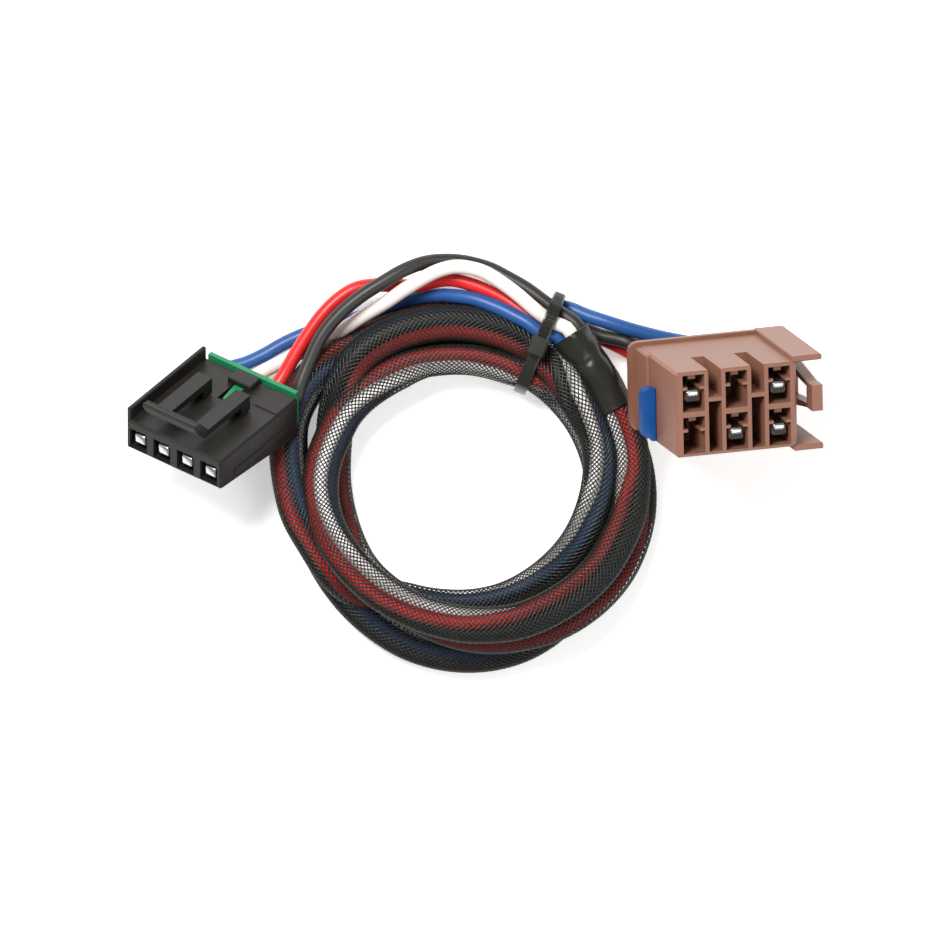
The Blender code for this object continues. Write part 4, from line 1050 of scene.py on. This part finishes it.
class CableTie:
    """The band round the coil and its head."""

    def __init__(self, wardrobe: Wardrobe) -> None:
        self.wardrobe = wardrobe
        along = Vector((*TIE_ALONG, 0.0)).normalized()
        up = Vector((0, 0, 1))
        turn = Matrix((along, up, along.cross(up))).transposed().to_4x4()
        self.matrix = Matrix.Translation((*TIE_CENTRE, 0.0)) @ turn

    def _outline(self) -> np.ndarray:
        """The band's inner surface as an even closed line.

        Returns:
            Points in the tie's plane in mm.
        """
        loop = [(*p, 0.0) for p in TIE_BUNDLE]
        smooth = spline([*loop[-3:], *loop, *loop[:4]], 0.1)
        first = np.array(loop[0])
        distance = np.linalg.norm(smooth - first, axis=1)
        half = len(smooth) // 2
        begin = int(np.argmin(distance[:half]))
        end = half + int(np.argmin(distance[half:]))
        closed = np.vstack([smooth[begin:end], smooth[begin : begin + 1]])
        steps = round(lengths(closed)[-1] / (TOOTH_PITCH / 4)) // 4 * 4
        return resample(closed, lengths(closed)[-1] / steps)[:-1]

    def build(self) -> list[bpy.types.Object]:
        """Makes the band, with its teeth on the part over the leads, and dresses the head.

        Returns:
            The band and the head.
        """
        inner = self._outline()
        ahead = np.roll(inner, -1, axis=0) - np.roll(inner, 1, axis=0)
        outward = unit(np.stack([ahead[:, 1], -ahead[:, 0], np.zeros(len(inner))], axis=1))
        half = TIE_WIDTH / 2
        toothed = (inner[:, 0] > TEETH_FROM[0]) & (inner[:, 1] > TEETH_FROM[1])
        valley = toothed & (np.arange(len(inner)) % 4 >= 2)
        depth = np.where(valley, TOOTH_HEIGHT, 0.0)
        rail = half * TIE_RAIL
        across = (-half, -half, -rail, -rail, rail, rail, half, half)
        outer = TIE_THICKNESS
        shoulder = outer - TIE_EDGE
        rows = []
        for place, normal, cut in zip(inner, outward, depth):
            heights = (0.0, shoulder, outer, outer - cut, outer - cut, outer, shoulder, 0.0)
            rows.append([(*(place + normal * h)[:2], w) for w, h in zip(across, heights)])
        rows = np.array(rows)
        world = rows.reshape(-1, 3) @ np.array(self.matrix.to_3x3()).T + np.array(self.matrix.translation)
        sides = len(across)
        count = len(inner)
        faces = grid_faces(count, sides, True)
        last = (count - 1) * sides
        faces += [(last + j, last + (j + 1) % sides, (j + 1) % sides, j) for j in range(sides)]
        band = mesh_piece("cable_tie_band", world * MM, faces, smooth=False)
        self.wardrobe.dress(band, Slot.TIE_NYLON)
        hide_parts("cable_tie_strap")
        self.wardrobe.node("cable_tie_head", Slot.TIE_NYLON, TIE_HEAD_EDGE)
        return [band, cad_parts["cable_tie_head"]]


# ------------------------------------------------------------------------------------------------------ plugs


class ControllerPlug:
    """Black four-way plug."""

    def __init__(self, wardrobe: Wardrobe) -> None:
        self.wardrobe = wardrobe
        self.frame = PlugFrame(CONTROLLER_ORIGIN, CONTROLLER_RIGHT, CONTROLLER_BACK)

    def build(self) -> None:
        """Dresses the CAD nodes and adds the small moulded details."""
        for node, slot in (
            ("controller_plug_housing", Slot.BLACK_PLASTIC),
            ("controller_plug_latch", Slot.BLACK_PLASTIC),
            ("controller_plug_lock", Slot.GREEN_PLASTIC),
        ):
            self.wardrobe.node(node, slot)
        block = self.frame.block
        for number, (x, z) in enumerate(CONTROLLER_CAVITIES.values(), 1):
            self.wardrobe.terminal(f"controller_terminal_{number}", block, x, z, *CONTROLLER_SPRING)
        for name, size in CONTROLLER_DETAILS.items():
            self.wardrobe.dress(block(name, *size), Slot.BLACK_PLASTIC)
        bead = block("controller_plug_bar_bead", *LATCH_BEAD)
        self.wardrobe.dress(bead, Slot.BLACK_PLASTIC, Body.CONTROLLER_LATCH)


class VehiclePlug:
    """Brown six-cavity plug."""

    def __init__(self, wardrobe: Wardrobe) -> None:
        self.wardrobe = wardrobe
        self.frame = PlugFrame(VEHICLE_ORIGIN, VEHICLE_RIGHT, VEHICLE_BACK)

    def build(self) -> None:
        """Dresses the CAD nodes and adds the locking fingers and ribs."""
        for node, slot in (
            ("vehicle_plug_housing", Slot.BROWN_PLASTIC),
            ("vehicle_plug_latch", Slot.BROWN_PLASTIC),
            ("vehicle_plug_lock", Slot.BLUE_PLASTIC),
        ):
            self.wardrobe.node(node, slot)
        block = self.frame.block
        for number, colour in enumerate(VEHICLE_TERMINALS, 1):
            x, z = VEHICLE_CAVITIES[colour]
            self.wardrobe.terminal(f"vehicle_terminal_{number}", block, x, z, *VEHICLE_SPRING)
        for column in (-1, 0, 1):
            for row, level in ((-1, "lower"), (1, "upper")):
                x, roof = column * VEHICLE_PITCH_X, row * VEHICLE_ROW_Z + VEHICLE_ROOF
                self.detail(f"vehicle_plug_finger_{column + 2}_{level}", FINGER, (x, 0.0, roof))
        for i, z in enumerate(BACK_RIB_HEIGHTS):
            self.detail(f"vehicle_plug_back_rib_{i}", BACK_RIB, (0.0, 0.0, z))

    def detail(self, name: str, size, place) -> None:
        """Adds a small moulded block.

        Args:
            name: the object's name.
            size: its corners about its place, and the rounding, in mm.
            place: where it goes, in mm.
        """
        low, high, rounding = size
        corners = (tuple(a + b for a, b in zip(corner, place)) for corner in (low, high))
        self.wardrobe.dress(self.frame.block(name, *corners, rounding), Slot.BROWN_PLASTIC)


class Studio:
    """Floor, light and camera."""

    def build(self) -> None:
        """Sets the pale floor, the soft light and the view from above."""
        half = FLOOR_SIZE / 2
        corners = [(x * half, y * half, FLOOR_HEIGHT) for x, y in ((-1, -1), (1, -1), (1, 1), (-1, 1))]
        floor = mesh_piece("floor", np.array(corners), [(0, 1, 2, 3)])
        white = bpy.data.materials.new("pale floor")
        white.use_nodes = True
        shader = white.node_tree.nodes["Principled BSDF"]
        shader.inputs["Base Color"].default_value = FLOOR_COLOUR
        shader.inputs["Roughness"].default_value = FLOOR_ROUGHNESS
        shader.inputs["Emission Color"].default_value = WHITE
        shader.inputs["Emission Strength"].default_value = FLOOR_GLOW
        floor.data.materials.append(white)
        scene = bpy.context.scene
        world = bpy.data.worlds.new("soft surround")
        world.use_nodes = True
        world.node_tree.nodes["Background"].inputs["Color"].default_value = WHITE
        world.node_tree.nodes["Background"].inputs["Strength"].default_value = SURROUND_STRENGTH
        scene.world = world
        for name, place, size, power in LIGHTS:
            light = bpy.data.lights.new(name, "AREA")
            light.size = size
            light.energy = power
            lamp = bpy.data.objects.new(name, light)
            lamp.location = place
            lamp.rotation_euler = (-Vector(place)).to_track_quat("-Z", "Y").to_euler()
            collection().objects.link(lamp)
        lens = bpy.data.cameras.new("camera")
        lens.type = "ORTHO"
        lens.ortho_scale = VIEW_WIDTH
        camera = bpy.data.objects.new("camera", lens)
        camera.location = CAMERA_PLACE
        camera.rotation_euler = (0.0, 0.0, 0.0)
        collection().objects.link(camera)
        scene.camera = camera
        scene.view_settings.view_transform = "Standard"
        scene.view_settings.look = "None"


class Harness:
    """The whole product."""

    def __init__(self) -> None:
        self.wardrobe = Wardrobe()

    def build(self) -> None:
        """Builds every sub-assembly."""
        controller = ControllerPlug(self.wardrobe)
        vehicle = VehiclePlug(self.wardrobe)
        controller.build()
        vehicle.build()
        riders = CableTie(self.wardrobe).build()
        riders += [HeatShrink(self.wardrobe, *shrink).build() for shrink in SHRINKS]
        Loom(self.wardrobe).build(riders)
        Leads(self.wardrobe, controller.frame, "controller").build(
            CONTROLLER_ROUTES,
            CONTROLLER_CAVITIES,
            CONTROLLER_DEPTH,
            CONTROLLER_STRAIGHT,
            CONTROLLER_SHRINK,
            plug_first=True,
        )
        Leads(self.wardrobe, vehicle.frame, "vehicle").build(
            VEHICLE_ROUTES,
            VEHICLE_CAVITIES,
            VEHICLE_DEPTH,
            VEHICLE_STRAIGHT,
            VEHICLE_SHRINK,
            plug_first=False,
        )


def main() -> None:
    """Builds the scene."""
    logging.basicConfig(level=logging.INFO)
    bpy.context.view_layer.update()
    Studio().build()
    Harness().build()
    bpy.context.view_layer.update()


if __name__ == "__main__":
    main()
